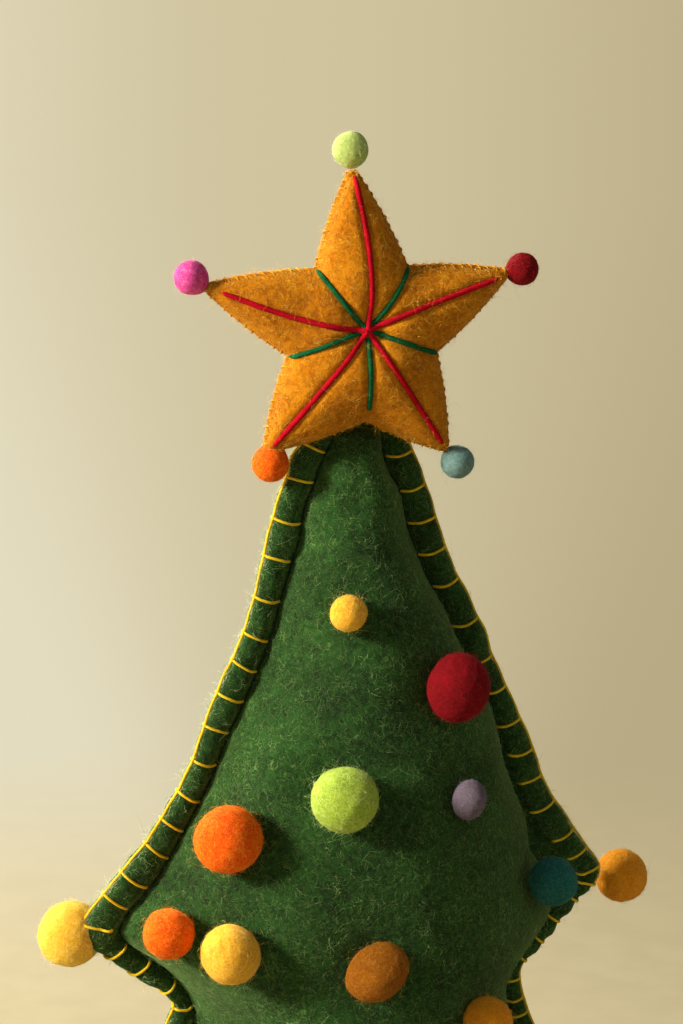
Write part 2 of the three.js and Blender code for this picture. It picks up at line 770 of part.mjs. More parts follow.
// The star stands before the crown, turned and tipped a little towards the viewer
star.position.set(-starShift, -starForward, top + starLift);
star.rotation.set(
  THREE.MathUtils.degToRad(starLean),
  THREE.MathUtils.degToRad(-starRoll),
  THREE.MathUtils.degToRad(-starTurn),
);
star.updateMatrixWorld(true);
tree.add(star);

// Two threads that go over the crown and hold the back of the star
function starTie(side) {
  const depth = feltFront + gap + thread / 2;
  const over = top + gap + thread / 2;
  const x = side * tieSpread;
  const held = new THREE.Vector3(starShift + x, 0, -starNotches[2][0] * starSeamShare);
  held.y = depth + thread / 2 + starBulge(held.x, held.z, 0);
  const end = star.localToWorld(held);
  const route = [
    new THREE.Vector3(x, depth, seamTop + gap),
    new THREE.Vector3(x, depth, over),
    new THREE.Vector3(x, -depth, over),
    end,
  ];
  return tube(route, thread / 2, 4, false);
}
addPiece(tree, 'star_tie_left', starTie(-1), mustard, 'cord');
addPiece(tree, 'star_tie_right', starTie(1), mustard, 'cord');

export default tree;
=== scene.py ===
# A stuffed felt christmas tree: two flared tiers with blanket-stitched edges, felted wool balls
# and a padded star. Every surface is worked out in millimetres on numpy grids.
import math

import bpy
import numpy as np
from mathutils import Matrix, Vector


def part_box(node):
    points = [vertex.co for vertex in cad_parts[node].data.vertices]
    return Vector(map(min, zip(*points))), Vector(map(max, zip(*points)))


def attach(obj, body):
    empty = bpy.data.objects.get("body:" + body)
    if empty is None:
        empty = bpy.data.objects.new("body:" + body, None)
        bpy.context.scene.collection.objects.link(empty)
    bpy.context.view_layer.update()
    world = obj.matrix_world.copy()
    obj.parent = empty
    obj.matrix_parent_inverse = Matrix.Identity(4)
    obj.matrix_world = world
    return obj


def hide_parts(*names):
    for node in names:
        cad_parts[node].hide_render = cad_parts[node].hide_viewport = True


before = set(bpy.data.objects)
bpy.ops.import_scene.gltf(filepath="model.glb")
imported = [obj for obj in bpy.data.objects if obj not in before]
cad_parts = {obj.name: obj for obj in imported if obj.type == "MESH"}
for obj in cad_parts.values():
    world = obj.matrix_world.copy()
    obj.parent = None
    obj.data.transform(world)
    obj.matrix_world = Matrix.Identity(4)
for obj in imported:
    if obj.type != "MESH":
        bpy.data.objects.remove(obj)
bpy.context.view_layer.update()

metre = 0.001  # one millimetre in metres


# Soft noise from -1 to 1: values on a whole-number lattice, blended smoothly between neighbours
def softNoise(points, size, seed):
    p = np.asarray(points, float) / size + seed * 17.31
    cell = np.floor(p).astype(np.int64)
    part = p - cell
    part = part * part * (3 - 2 * part)
    total = np.zeros(p.shape[:-1])
    for corner in np.ndindex(2, 2, 2):
        at = cell + corner
        key = at[..., 0] * 73856093 ^ at[..., 1] * 19349663 ^ at[..., 2] * 83492791
        for shift, factor in ((13, 1274126177), (15, 668265263)):
            key = (key ^ (key >> shift)) * factor & 0x7FFFFFFF
        weight = np.where(np.array(corner) > 0, part, 1 - part).prod(-1)
        total += ((key & 0xFFFF) / 32767.5 - 1) * weight
    return total


# Vectors scaled to length one
def unit(vectors):
    return vectors / np.linalg.norm(vectors, axis=-1, keepdims=True)


# Vectors without their share along a direction
def without(vectors, direction):
    return vectors - direction * np.einsum("ij,ij->i", vectors, direction)[:, None]


# Length of a path up to each of its points
def runAlong(path):
    return np.r_[0, np.cumsum(np.linalg.norm(np.diff(path, axis=0), axis=1))]


# Angles evenly round a full turn
def roundTurn(count):
    return 2 * np.pi * np.arange(count) / count


# Running mean over neighbours, ends kept
def eased(values, times):
    values = np.array(values, float)
    for _ in range(times):
        values[1:-1] = (values[:-2] + 2 * values[1:-1] + values[2:]) / 4
    return values


# Even steps along a path of straight pieces
def evenPath(path, step):
    path = np.asarray(path, float)
    run = runAlong(path)
    at = np.linspace(0, run[-1], max(int(round(run[-1] / step)), 3) + 1)
    return np.stack([np.interp(at, run, path[:, k]) for k in range(3)], -1)


# Volume as a sum of triple products of each face's corners; a negative one is turned right side out
def turnedOut(points, faces):
    volume = 0.0
    for block in faces:
        for k in range(1, block.shape[1] - 1):
            first, second, third = points[block[:, 0]], points[block[:, k]], points[block[:, k + 1]]
            volume += np.einsum("ij,ij->i", first, np.cross(second, third)).sum()
    return points, [block[:, ::-1] for block in faces] if volume < 0 else faces


# Corners of a grid's four-sided faces; a closed grid joins its last column to its first
def gridQuads(rows, columns, closed=False):
    i, j = np.meshgrid(np.arange(rows - 1), np.arange(columns if closed else columns - 1), indexing="ij")
    near, far, k = i * columns, (i + 1) * columns, (j + 1) % columns
    return np.stack([near + j, near + k, far + k, far + j], -1).reshape(-1, 4)


# Rows of closed rings; a middle point shuts either end
def ringSolid(rings, firstMiddle=None, lastMiddle=None):
    rows, sides = rings.shape[:2]
    firstMiddle = rings[0].mean(0) if firstMiddle is None else firstMiddle
    lastMiddle = rings[-1].mean(0) if lastMiddle is None else lastMiddle
    points = np.vstack([rings.reshape(-1, 3), firstMiddle, lastMiddle])
    j = np.arange(sides)
    k, end = (j + 1) % sides, (rows - 1) * sides
    first = np.stack([np.full(sides, rows * sides), k, j], -1)
    last = np.stack([np.full(sides, rows * sides + 1), end + j, end + k], -1)
    return turnedOut(points, [gridQuads(rows, sides, True), np.vstack([first, last])])


# A sheet with two skins on the same grid, shut all round its rim
def sheetSolid(outer, inner):
    rows, columns = outer.shape[:2]
    back = rows * columns
    skin = gridQuads(rows, columns)
    place = np.arange(back).reshape(rows, columns)
    rim = np.concatenate([place[0, :-1], place[:-1, -1], place[-1, :0:-1], place[:0:-1, 0]])
    following = np.roll(rim, -1)
    shut = np.stack([rim, rim + back, following + back, following], -1)
    points = np.vstack([outer.reshape(-1, 3), inner.reshape(-1, 3)])
    return turnedOut(points, [np.vstack([skin, skin[:, [0, 3, 2, 1]] + back, shut])])


# A round section carried along a path; twisted plies swell and dip as they wind round it
def cordSolid(path, radius, reference, sides, plies=0, twistPitch=1.0, plyDepth=0.0, phase=0.0):
    path = np.asarray(path, float)
    along = unit(np.gradient(path, axis=0))
    side = unit(without(np.broadcast_to(np.asarray(reference, float), path.shape), along))
    across = np.cross(along, side)
    angle = roundTurn(sides)
    radius = np.broadcast_to(np.asarray(radius, float), len(path))[:, None] * np.ones(sides)
    if plies:
        wind = angle[None, :] - (2 * np.pi * runAlong(path) / twistPitch)[:, None] + phase
        radius = radius * (1 - plyDepth + plyDepth * np.abs(np.cos(wind * plies / 2)))
    outward = np.cos(angle)[None, :, None] * side[:, None] + np.sin(angle)[None, :, None] * across[:, None]
    return ringSolid(path[:, None] + radius[..., None] * outward, path[0], path[-1])


# Short fibres: thin three-sided tubes that leave the surface at a low angle and curl; none reaches the floor
def fibreSolid(places, normals, lengths, radius, curl, lift, rng, joints=4):
    count = len(places)
    tangent = unit(without(rng.normal(size=(count, 3)), normals))
    sideways = np.cross(normals, tangent)
    turn = rng.normal(0, curl, count)
    rise = np.abs(rng.normal(lift, lift * 0.5, count))
    droop = rng.uniform(0.2, 1.1, count)
    spine = [places - normals * 0.15]
    for k in range(1, joints):
        share = k / (joints - 1)
        heading = (turn * share + rng.normal(0, curl * 0.25, count))[:, None]
        climb = (rise * (1 - droop * share))[:, None]
        step = unit(np.cos(heading) * tangent + np.sin(heading) * sideways + climb * normals)
        spine.append(spine[-1] + step * (lengths / (joints - 1))[:, None])
    spine = np.stack(spine, 1)
    above = spine[..., 2].min(1) > 0.6
    spine, normals, thick = spine[above], normals[above], np.broadcast_to(np.asarray(radius, float), count)[above]
    along = unit(np.gradient(spine, axis=1))
    side = np.cross(along, normals[:, None])
    side /= np.maximum(np.linalg.norm(side, axis=2, keepdims=True), 1e-6)
    across = np.cross(along, side)
    thick = (thick[:, None] * np.linspace(1, 0.45, joints))[..., None]
    corners = [2 * np.pi * m / 3 for m in range(3)]
    rings = np.stack([spine + thick * (math.cos(c) * side + math.sin(c) * across) for c in corners], 2)
    start = np.arange(len(spine)) * joints * 3
    end = start + (joints - 1) * 3
    caps = np.vstack([np.stack([start, start + 2, start + 1], -1), np.stack([end, end + 1, end + 2], -1)])
    quads = (start[:, None, None] + gridQuads(joints, 3, True)).reshape(-1, 4)
    return turnedOut(rings.reshape(-1, 3), [quads, caps])


# Puts solids into one mesh, in metres, and makes the piece ride on the body
def addPiece(name, parts, material, slot, *nodes):
    points, loops, totals, shift = [], [], [], 0
    for partPoints, faces in parts:
        points.append(partPoints)
        for block in faces:
            loops.append((block + shift).ravel())
            totals.append(np.full(len(block), block.shape[1]))
        shift += len(partPoints)
    points, loops, totals = np.vstack(points) * metre, np.concatenate(loops), np.concatenate(totals)
    mesh = bpy.data.meshes.new(name)
    for group, key, values, kind in (
        (mesh.vertices, "co", points, np.float32), (mesh.loops, "vertex_index", loops, np.int32),
        (mesh.polygons, "loop_start", np.r_[0, np.cumsum(totals)[:-1]], np.int32),
    ):
        group.add(len(values))
        group.foreach_set(key, values.astype(kind).ravel())
    mesh.polygons.foreach_set("loop_total", totals.astype(np.int32))
    mesh.polygons.foreach_set("use_smooth", np.ones(len(totals), bool))
    mesh.update(calc_edges=True)
    mesh.validate()
    mesh.materials.append(material)
    piece = linked(name, mesh)
    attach(piece, "root")
    if nodes:
        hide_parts(*nodes)
    return piece


# A new object in the scene, at the origin
def linked(name, data):
    made = bpy.data.objects.new(name, data)
    bpy.context.scene.collection.objects.link(made)
    return made


# Colour as seen on a screen, 0 to 255, turned into the linear values that materials use
def srgb(*tone):
    values = np.array(tone) / 255
    linear = np.where(values <= 0.04045, values / 12.92, ((values + 0.055) / 1.055) ** 2.4)
    return (*[float(v) for v in linear], 1.0)


# Gives a node's sockets fixed values, or joins them to other nodes' outputs
def feed(tree, node, sockets):
    for key, value in sockets.items():
        if isinstance(value, (int, float, tuple)):
            node.inputs[key].default_value = value
        else:
            tree.links.new(value, node.inputs[key])


# A new node with its settings made and its sockets fed
def addNode(tree, kind, sockets, **settings):
    node = tree.nodes.new("ShaderNode" + kind)
    for key, value in settings.items():
        setattr(node, key, value)
    feed(tree, node, sockets)
    return node


# A material with its node tree, its shader, and the piece's own coordinates for its patterns
def newMaterial(name):
    material = bpy.data.materials.new(name)
    material.use_nodes = True
    tree = material.node_tree
    return material, tree, tree.nodes["Principled BSDF"], addNode(tree, "TexCoord", {}).outputs["Object"]


# Noise from 0 to 1 at some repeats per metre
def noiseNode(tree, coords, scale, detail, roughness=0.5, distortion=0.0):
    sockets = {"Vector": coords, "Scale": scale, "Detail": detail, "Roughness": roughness, "Distortion": distortion}
    return addNode(tree, "TexNoise", sockets).outputs["Fac"]


# One sum on values or other nodes' outputs
def mathNode(tree, operation, *values):
    return addNode(tree, "Math", dict(enumerate(values)), operation=operation).outputs[0]


# Smooth step of a value between two ends
def rangeNode(tree, value, low, high, toLow=0.0, toHigh=1.0):
    sockets = {"Value": value, "From Min": low, "From Max": high, "To Min": toLow, "To Max": toHigh}
    return addNode(tree, "MapRange", sockets, interpolation_type="SMOOTHSTEP").outputs["Result"]


# Mix of two colours; 0, 6 and 7 are the share and colour sockets of the Mix node
def mixNode(tree, share, first, second):
    return addNode(tree, "Mix", {0: share, 6: first, 7: second}, data_type="RGBA").outputs[2]


# Base colour between two tones, where a field runs from low to high
def twoTones(tree, field, low, high, deep, middle):
    return mixNode(tree, rangeNode(tree, field, low, high), srgb(*deep), srgb(*middle))


# Bump in the shader's normal, its depth in millimetres
def raised(tree, height, strength, depth):
    sockets = {"Strength": strength, "Distance": depth * metre, "Height": height}
    return addNode(tree, "Bump", sockets).outputs["Normal"]


# Thin curly lines where warped noise crosses its middle value, broken up by a second noise
def fibreLines(tree, coords, scale, width, cover, distortion):
    field = noiseNode(tree, coords, scale, 1.5, 0.55, distortion)
    away = mathNode(tree, "ABSOLUTE", mathNode(tree, "SUBTRACT", field, 0.5))
    line = rangeNode(tree, away, 0.0, width, 1.0, 0.0)
    breaks = noiseNode(tree, coords, scale * 1.7, 1.0, 0.5, 0.3)
    return mathNode(tree, "MULTIPLY", line, rangeNode(tree, breaks, 0.56 - cover * 0.2, 0.62 - cover * 0.2))


# Felted wool: deep and middle tones mottled by fine noise, under two sizes of pale curly fibres
def woolMaterial(name, deep, middle, pale, looks):
    material, tree, shader, coords = newMaterial(name)
    blotch = noiseNode(tree, coords, looks["blotchScale"], 3.0, 0.6)
    mottle = noiseNode(tree, coords, looks["mottleScale"], 6.0, 0.72, 0.7)
    slow = mathNode(tree, "MULTIPLY_ADD", blotch, looks["blotchShare"], -0.5 * looks["blotchShare"])
    ground = twoTones(tree, mathNode(tree, "ADD", mottle, slow), 0.3, 0.7, deep, middle)
    scale, width, cover = looks["fibreScale"], looks["fibreWidth"], looks["fibreCover"]
    long = fibreLines(tree, coords, scale, width, cover, 1.3)
    fine = fibreLines(tree, coords, scale * 2.1, width * 1.7, cover, 2.2)
    hairs = mathNode(tree, "MAXIMUM", long, mathNode(tree, "MULTIPLY", fine, 0.7))
    patch = rangeNode(tree, blotch, 0.35, 0.7, looks["palePatchLow"], 1.0)
    share = mathNode(tree, "MULTIPLY", mathNode(tree, "MULTIPLY", hairs, patch), looks["paleShare"])
    grain = noiseNode(tree, coords, looks["grainScale"], 3.0, 0.7, 0.4)
    height = mathNode(tree, "ADD", mathNode(tree, "MULTIPLY", hairs, 0.55), mathNode(tree, "MULTIPLY", mottle, 0.9))
    height = mathNode(tree, "MULTIPLY_ADD", grain, 0.5, height)
    feed(tree, shader, {
        "Base Color": mixNode(tree, share, ground, srgb(*pale)),
        "Normal": raised(tree, height, looks["bumpStrength"], looks["bumpDepth"]),
        "Roughness": rangeNode(tree, grain, 0.3, 0.7, 0.82, 1.0),
        "Specular IOR Level": 0.15, "Sheen Weight": looks["sheen"], "Sheen Roughness": 0.4,
        "Sheen Tint": srgb(*looks.get("sheenTint", pale)),
    })
    return material


# Single loose fibres: from a middle to a pale tone along the piece
def fuzzMaterial(name, middle, pale):
    material, tree, shader, coords = newMaterial(name)
    feed(tree, shader, {
        "Base Color": twoTones(tree, noiseNode(tree, coords, 320.0, 2.0, 0.6), 0.35, 0.65, middle, pale),
        "Roughness": rangeNode(tree, noiseNode(tree, coords, 2500.0, 1.0), 0.3, 0.7, 0.6, 0.9),
        "Specular IOR Level": 0.3, "Sheen Weight": 0.6, "Sheen Tint": srgb(*pale),
    })
    return material


feltLooks = {
    "blotchScale": 55.0, "blotchShare": 0.42, "mottleScale": 460.0, "grainScale": 1700.0,
    "fibreScale": 300.0, "fibreWidth": 0.024, "fibreCover": 0.5, "palePatchLow": 0.4, "paleShare": 0.46,
    "bumpStrength": 0.8, "bumpDepth": 0.55, "sheen": 0.4,
}
bodyLooks = dict(feltLooks, sheenTint=(182, 216, 128))
starLooks = dict(
    feltLooks, blotchShare=0.35, mottleScale=520.0, fibreScale=330.0, paleShare=0.5, sheen=0.22,
    sheenTint=(255, 208, 80),
)
ballLooks = dict(
    feltLooks, blotchScale=150.0, blotchShare=0.2, mottleScale=1300.0, fibreScale=520.0, fibreWidth=0.04,
    paleShare=0.42, palePatchLow=0.6, grainScale=2400.0, bumpStrength=0.6, bumpDepth=0.35, sheen=0.22,
)
greenFelt = woolMaterial("greenFelt", (14, 33, 8), (36, 77, 26), (134, 170, 88), bodyLooks)
mustardFelt = woolMaterial("mustardFelt", (156, 82, 0), (214, 132, 2), (252, 204, 48), starLooks)
greenFuzz = fuzzMaterial("greenFuzz", (58, 106, 42), (178, 208, 132))
# Fibres along the rolled edges: pale loose wool, made paler still with painted rim light
backlitEdgeFuzz = fuzzMaterial("backlitEdgeFuzz", (118, 156, 96), (222, 234, 190))
mustardFuzz = fuzzMaterial("mustardFuzz", (222, 144, 12), (255, 216, 90))

# Each ball colour: deep, middle and pale tones. The mustard tones are darkened with painted shade, and the next,
# lighter tones are a copy of the same mustard wool with painted light, for the balls that catch it
ballColours = {
    "yellow": ((212, 136, 16), (246, 190, 50), (255, 232, 136)),
    "lemon": ((224, 158, 26), (250, 206, 66), (255, 240, 156)),
    "mustard": ((106, 56, 2), (150, 86, 5), (200, 138, 34)),
    "lit_mustard": ((212, 118, 8), (248, 164, 22), (255, 214, 92)),
    "orange": ((212, 48, 0), (248, 104, 4), (255, 190, 40)),
    "red": ((80, 0, 5), (130, 0, 10), (168, 4, 18)),
    "lime": ((118, 146, 28), (170, 194, 64), (230, 238, 156)),
    "pale_lime": ((146, 168, 66), (190, 208, 118), (234, 240, 192)),
    "lavender": ((80, 68, 80), (108, 94, 106), (158, 144, 158)),
    "teal": ((14, 66, 60), (32, 106, 98), (84, 150, 136)),
    "pink": ((178, 30, 112), (224, 72, 156), (252, 176, 214)),
    "pale_blue": ((82, 114, 110), (116, 148, 142), (170, 196, 188)),
}
ballMaterials, ballFuzz = {}, {}
for name, (deep, middle, pale) in ballColours.items():
    ballMaterials[name] = woolMaterial("wool_" + name, deep, middle, pale, ballLooks)
    ballFuzz[name] = fuzzMaterial("fuzz_" + name, middle, tuple(255 - (255 - tone) * 0.88 for tone in pale))


# Twisted yarn: fine hairs along it in two tones
def yarnMaterial(name, deep, middle, scale=900.0):
    material, tree, shader, coords = newMaterial(name)
    strand = noiseNode(tree, coords, scale, 4.0, 0.7, 0.8)
    slow = noiseNode(tree, coords, scale * 0.12, 2.0)
    tone = mathNode(tree, "MULTIPLY_ADD", strand, 0.7, mathNode(tree, "MULTIPLY", slow, 0.3))
    feed(tree, shader, {
        "Base Color": twoTones(tree, tone, 0.3, 0.68, deep, middle),
        "Normal": raised(tree, strand, 0.9, 0.3),
        "Roughness": rangeNode(tree, strand, 0.3, 0.7, 0.8, 1.0),
        "Specular IOR Level": 0.12, "Sheen Weight": 0.12, "Sheen Roughness": 0.5, "Sheen Tint": srgb(*middle),
    })
    return material


yellowYarn = yarnMaterial("yellowYarn", (204, 158, 8), (242, 208, 46))
redYarn = yarnMaterial("redYarn", (128, 0, 16), (204, 6, 34), 1500.0)
greenYarn = yarnMaterial("greenYarn", (4, 52, 28), (16, 104, 56), 1500.0)
greenThread = yarnMaterial("greenThread", (12, 34, 16), (26, 60, 30), 2200.0)
mustardThread = yarnMaterial("mustardThread", (178, 110, 14), (230, 166, 40), 2200.0)
whiteFilling = yarnMaterial("whiteFilling", (205, 200, 190), (238, 235, 228), 300.0)


# Plain woven cotton: two crossing sets of fine waves
def clothMaterial(name, deep, middle):
    material, tree, shader, coords = newMaterial(name)
    sockets = {"Vector": coords, "Scale": 420.0, "Distortion": 1.2}
    waves = [addNode(tree, "TexWave", sockets, bands_direction=way).outputs["Fac"] for way in ("X", "Z")]
    weave = mathNode(tree, "MULTIPLY", *waves)
    colour = mixNode(tree, weave, srgb(*deep), srgb(*middle))
    feed(tree, shader, {"Base Color": colour, "Normal": raised(tree, weave, 1.0, 0.2), "Roughness": 0.9})
    return material


# Board: noise drawn out along its length
def boardMaterial(name, deep, middle):
    material, tree, shader, coords = newMaterial(name)
    drawnOut = addNode(tree, "Mapping", {"Vector": coords, "Scale": (0.15, 1.0, 1.0)}).outputs["Vector"]
    field = noiseNode(tree, drawnOut, 320.0, 5.0, 0.6, 0.4)
    colour = twoTones(tree, field, 0.3, 0.8, deep, middle)
    feed(tree, shader, {"Base Color": colour, "Normal": raised(tree, field, 1.0, 0.15), "Roughness": 0.7})
    return material


# Pellets: round cells, high in their middles
def pelletMaterial(name, deep, middle):
    material, tree, shader, coords = newMaterial(name)
    cells = addNode(tree, "TexVoronoi", {"Vector": coords, "Scale": 300.0})
    field = mathNode(tree, "SUBTRACT", 1.0, cells.outputs["Distance"])
    colour = twoTones(tree, field, 0.3, 0.8, deep, middle)
    feed(tree, shader, {"Base Color": colour, "Normal": raised(tree, field, 1.0, 1.2), "Roughness": 0.5})
    return material


bagCotton = clothMaterial("bagCotton", (176, 160, 126), (226, 214, 186))
greyBoard = boardMaterial("greyBoard", (138, 116, 84), (186, 162, 124))
roundPellets = pelletMaterial("roundPellets", (120, 106, 82), (206, 190, 158))
print("materials made")


bodySizes = {
    "tipLow": 26.0, "waist": 127.0, "tipHigh": 154.0, "shoulder": 297.0, "top": 305.0,
    "footHalf": 80.0, "lowerTipHalf": 102.0, "waistHalf": 58.0, "upperTipHalf": 86.0,
    "shoulderHalf": 15.0, "crownInset": 4.0, "straightShare": 0.8, "flarePower": 4,
    "border": 10.5, "crownSeamHalf": 5.5, "seamTop": 301.0, "swellDepth": 4.0, "plumpShare": 1.54,
    "felt": 3.0, "gap": 0.3, "cornerRadius": 5.0, "crownCorner": 3.0, "notchRadius": 3.0, "seamCorner": 7.0,
    "borderHeight": 4.3, "grooveHeight": 1.3, "grooveWidth": 2.3,
    "edgeRound": 3.1, "rollStart": -60.0, "rollShare": 0.47, "frontBulge": 0.9, "backBulge": 0.7,
    "stitchPitch": 10.4, "pitchSpread": 0.13, "stitchReach": 8.2, "pinchWidth": 2.3, "legWidth": 1.2, "legDent": 0.32,
    "scallop": 0.15, "undersideScallop": 1.0, "lowScallop": 1.4, "puckerDepth": 0.4, "puckerPitch": 6.5,
    "legEnd": 9.0, "legFade": 1.5, "leastRise": 0.15, "pullReach": 9.0, "ballDimple": 1.1, "dimpleSpread": 0.95,
    "firmRoom": 2.6, "puckerRoom": 6.0, "softRoom": 7.0, "pullFoot": 4.0, "moveFoot": 10.0, "softFoot": 12.0,
    "finSlack": 0.7, "finReach": 9.0, "finSpread": 26.0, "sideSlack": 0.3,
}
b = bodySizes

# Unevenness of felt and filling: how much, over how many millimetres, and its seed
unevenness = {
    "border": (0.12, 9.0, 3), "bulge": (0.3, 7.0, 4), "lumps": (0.9, 24.0, 5), "smallLumps": (0.35, 10.0, 8),
    "ripple": (2.2, 16.0, 11), "pucker": (0.4, 22.0, 12), "filling": (0.8, 9.0, 21),
    "starLumps": (0.45, 12.0, 14), "smallStarLumps": (0.18, 4.5, 15),
}


# One kind of unevenness at some places: its amount times soft noise
def uneven(kind, places):
    amount, size, seed = unevenness[kind]
    return amount * softNoise(places, size, seed)


# The felt is cut by hand. How far each edge stands outside the even outline, as height and millimetres, top down
edgeCut = {
    -1: [
        (305, 2.4), (298, 3.1), (292, 4.5), (286, 3.6), (279, 3.4), (271, 2.5), (265, 1.5), (253, -0.9), (243, -2.1),
        (233, -2.2), (227, -1.7), (215, -2.2), (203, -3.9), (194, -4.4), (186, -3.9), (179, -3.5), (170, -1.4),
        (164, -0.4), (157, 0.2), (153, 0.2), (148, 2.4), (145, 1.6), (142, 1.1), (139, 0.5), (135, -1.1),
        (132, -2.3), (128, -1.8), (124, -1.2), (105, 0), (0, 0),
    ],
    1: [
        (305, -1.2), (295, -1.8), (286, -1.3), (278, -1.4), (269, -2.1), (263, -2.2), (256, -2.2), (250, -0.9),
        (243, -0.6), (237, 0.4), (230, -0.5), (217, 0.0), (204, 0.0), (197, -0.5), (191, -1.8), (184, -2.7),
        (177, -2.0), (170, -1.7), (163, -1.5), (158, -1.1), (155.6, -2.4), (154, -4.6), (149.6, -2.3), (147.6, -3.3),
        (145.6, -3.7), (143, -2.3), (139.7, -3.0), (136, -1.1), (133.3, -1.9), (130.8, -1.2), (128, -1.9),
        (125, -3.9), (120, -5.2), (115, -5.4), (108, -5.4), (80, -1.5), (60, 0), (0, 0),
    ],
}
# The seam, sewn by hand, as height and distance from the middle, top down; below these it keeps to the border
seamCut = {
    -1: [
        (298, 9.6), (286, 14.3), (279, 17.7), (268, 19.4), (262, 21.5), (251, 24.8), (239, 28.3), (221, 35.6),
        (203, 43.9), (186, 52.1), (173, 59.4), (165, 65.0), (157.5, 71.5), (151.5, 74.5), (148.5, 72.5), (144, 66.5),
        (137, 59.0), (132, 54.8), (128, 53.0), (124, 51.2),
    ],
    1: [
        (296, 5.5), (293, 6.3), (283, 11.4), (271, 14.2), (263, 17.4), (256, 20.2), (250, 23.8), (240, 28.8),
        (233, 32.4), (216, 41.4), (205, 44.7), (197, 46.9), (190, 49.6), (183, 52.4), (176, 55.3), (170, 56.0),
        (165, 57.6), (160, 61.6), (155, 65.2), (150, 66.0), (145, 64.2), (141, 61.6), (138, 59.6), (132, 54.2),
        (126, 49.8), (121, 50.0), (117, 50.6), (112, 51.6),
    ],
}
# Heights of the stitches on the upper edges, then stitches on the undersides as height and distance from the middle
stitchHeights = {
    -1: [
        296.8, 286.8, 274.7, 263.7, 251.2, 240.5, 232.5, 222.7, 212.9, 202.8, 193.4, 185.3, 178.1, 169.8, 163.4,
        155.6,
    ],
    1: [
        302.0, 293.4, 283.8, 273.4, 264.0, 253.8, 241.1, 229.1, 219.0, 207.9, 198.0, 188.9, 180.4, 170.4, 163.7,
        158.0, 151.9,
    ],
}
stitchBelow = {
    -1: [(144.6, 79.2), (138.8, 71.9), (132.1, 62.7), (126.2, 55.9)],
    1: [(147.7, 75.1), (140.2, 70.0), (133.7, 64.6), (128.3, 59.2), (123.6, 56.5), (117.4, 57.7), (111.5, 59.0)],
}


# Straight at first, then flaring out near the tip: a share of s plus a share of s to a power
def tierHalf(z, topZ, topHalf, tipZ, tipHalf):
    s = (topZ - z) / (topZ - tipZ)
    return topHalf + (tipHalf - topHalf) * (b["straightShare"] * s + (1 - b["straightShare"]) * s ** b["flarePower"])


# Half width of the even outline at each height
def evenHalf(z):
    z = np.asarray(z, float)
    crown = b["shoulderHalf"] - b["crownInset"] * (np.maximum(z - b["shoulder"], 0) / (b["top"] - b["shoulder"])) ** 2
    upper = tierHalf(z, b["shoulder"], b["shoulderHalf"], b["tipHigh"], b["upperTipHalf"])
    under = b["waistHalf"] + (b["upperTipHalf"] - b["waistHalf"]) * (z - b["waist"]) / (b["tipHigh"] - b["waist"])
    lower = tierHalf(z, b["waist"], b["waistHalf"], b["tipLow"], b["lowerTipHalf"])
    foot = b["footHalf"] + (b["lowerTipHalf"] - b["footHalf"]) * np.maximum(z, 0) / b["tipLow"]
    above = [z >= b[level] for level in ("shoulder", "tipHigh", "waist", "tipLow")]
    return np.select(above, [crown, upper, under, lower], foot)


lineZ = np.linspace(0, b["top"], 1221)


# A line moved sideways by a radius: in, the least of half(z + rise) - sqrt(radius^2 - rise^2); out, the greatest sum
def movedHalf(half, radius, way):
    rise = np.linspace(-radius, radius, 81)
    moved = np.interp(lineZ[:, None] + rise, lineZ, half) + way * np.sqrt(radius ** 2 - rise ** 2)
    return moved.max(-1) if way > 0 else moved.min(-1)


# Outline of one side: cut by hand, tips rounded by going in and out again, notches by going out and in
def cutOutline(side):
    height, off = np.array(edgeCut[side][::-1], float).T
    half = evenHalf(lineZ) + eased(np.interp(lineZ, height, off), 10)
    opened = movedHalf(movedHalf(half, b["cornerRadius"], -1), b["cornerRadius"], 1)
    closed = movedHalf(movedHalf(opened, b["notchRadius"], 1), b["notchRadius"], -1)
    corner = 0.25 * np.maximum(lineZ - (b["top"] - b["crownCorner"]), 0) ** 2
    return np.where(lineZ > b["shoulder"] - 6, half, closed) - corner


# Seam of one side: the border's width in from the outline, drawn to the sewn places, its corners rounded
def sewnSeam(side):
    even = np.maximum(movedHalf(edgeHalf[side], b["border"], -1), b["crownSeamHalf"])
    even = movedHalf(movedHalf(even, b["seamCorner"], -1), b["seamCorner"], 1)
    height, sewn = np.array(seamCut[side][::-1], float).T
    off = np.interp(lineZ, np.r_[height[0] - 22, height], np.r_[0, sewn - np.interp(height, lineZ, even)])
    seam = np.maximum(even + eased(off, 60), b["crownSeamHalf"])
    return np.minimum(seam, edgeHalf[side] - 4.5)


edgeHalf = {side: cutOutline(side) for side in (-1, 1)}
seamHalf = {side: sewnSeam(side) for side in (-1, 1)}


# Edge of each side as a fine line, foot first, ending at the middle of the crown. Both lie in one list; the
# right one's run along the edge starts at a large number, so that a run tells the side too
def edgeLine(side):
    crown = np.arange(edgeHalf[side][-1] - 0.4, 0, -0.4)
    x, z = np.r_[edgeHalf[side], crown], np.r_[lineZ, np.full(len(crown), b["top"])]
    run = np.r_[0, np.cumsum(np.hypot(np.diff(x), np.diff(z)))]
    tangent = unit(eased(unit(np.stack([np.gradient(x), np.gradient(z)], -1)), 12))
    out = np.stack([tangent[:, 1], -tangent[:, 0]], -1)
    return side * x, z, run + (5000 if side > 0 else 0), out * [side, 1]


edgeLines = {side: edgeLine(side) for side in (-1, 1)}
edgeX, edgeZ, edgeRun, edgeOut = (np.concatenate(pair) for pair in zip(edgeLines[-1], edgeLines[1]))
edgeSplit = len(edgeLines[-1][0])


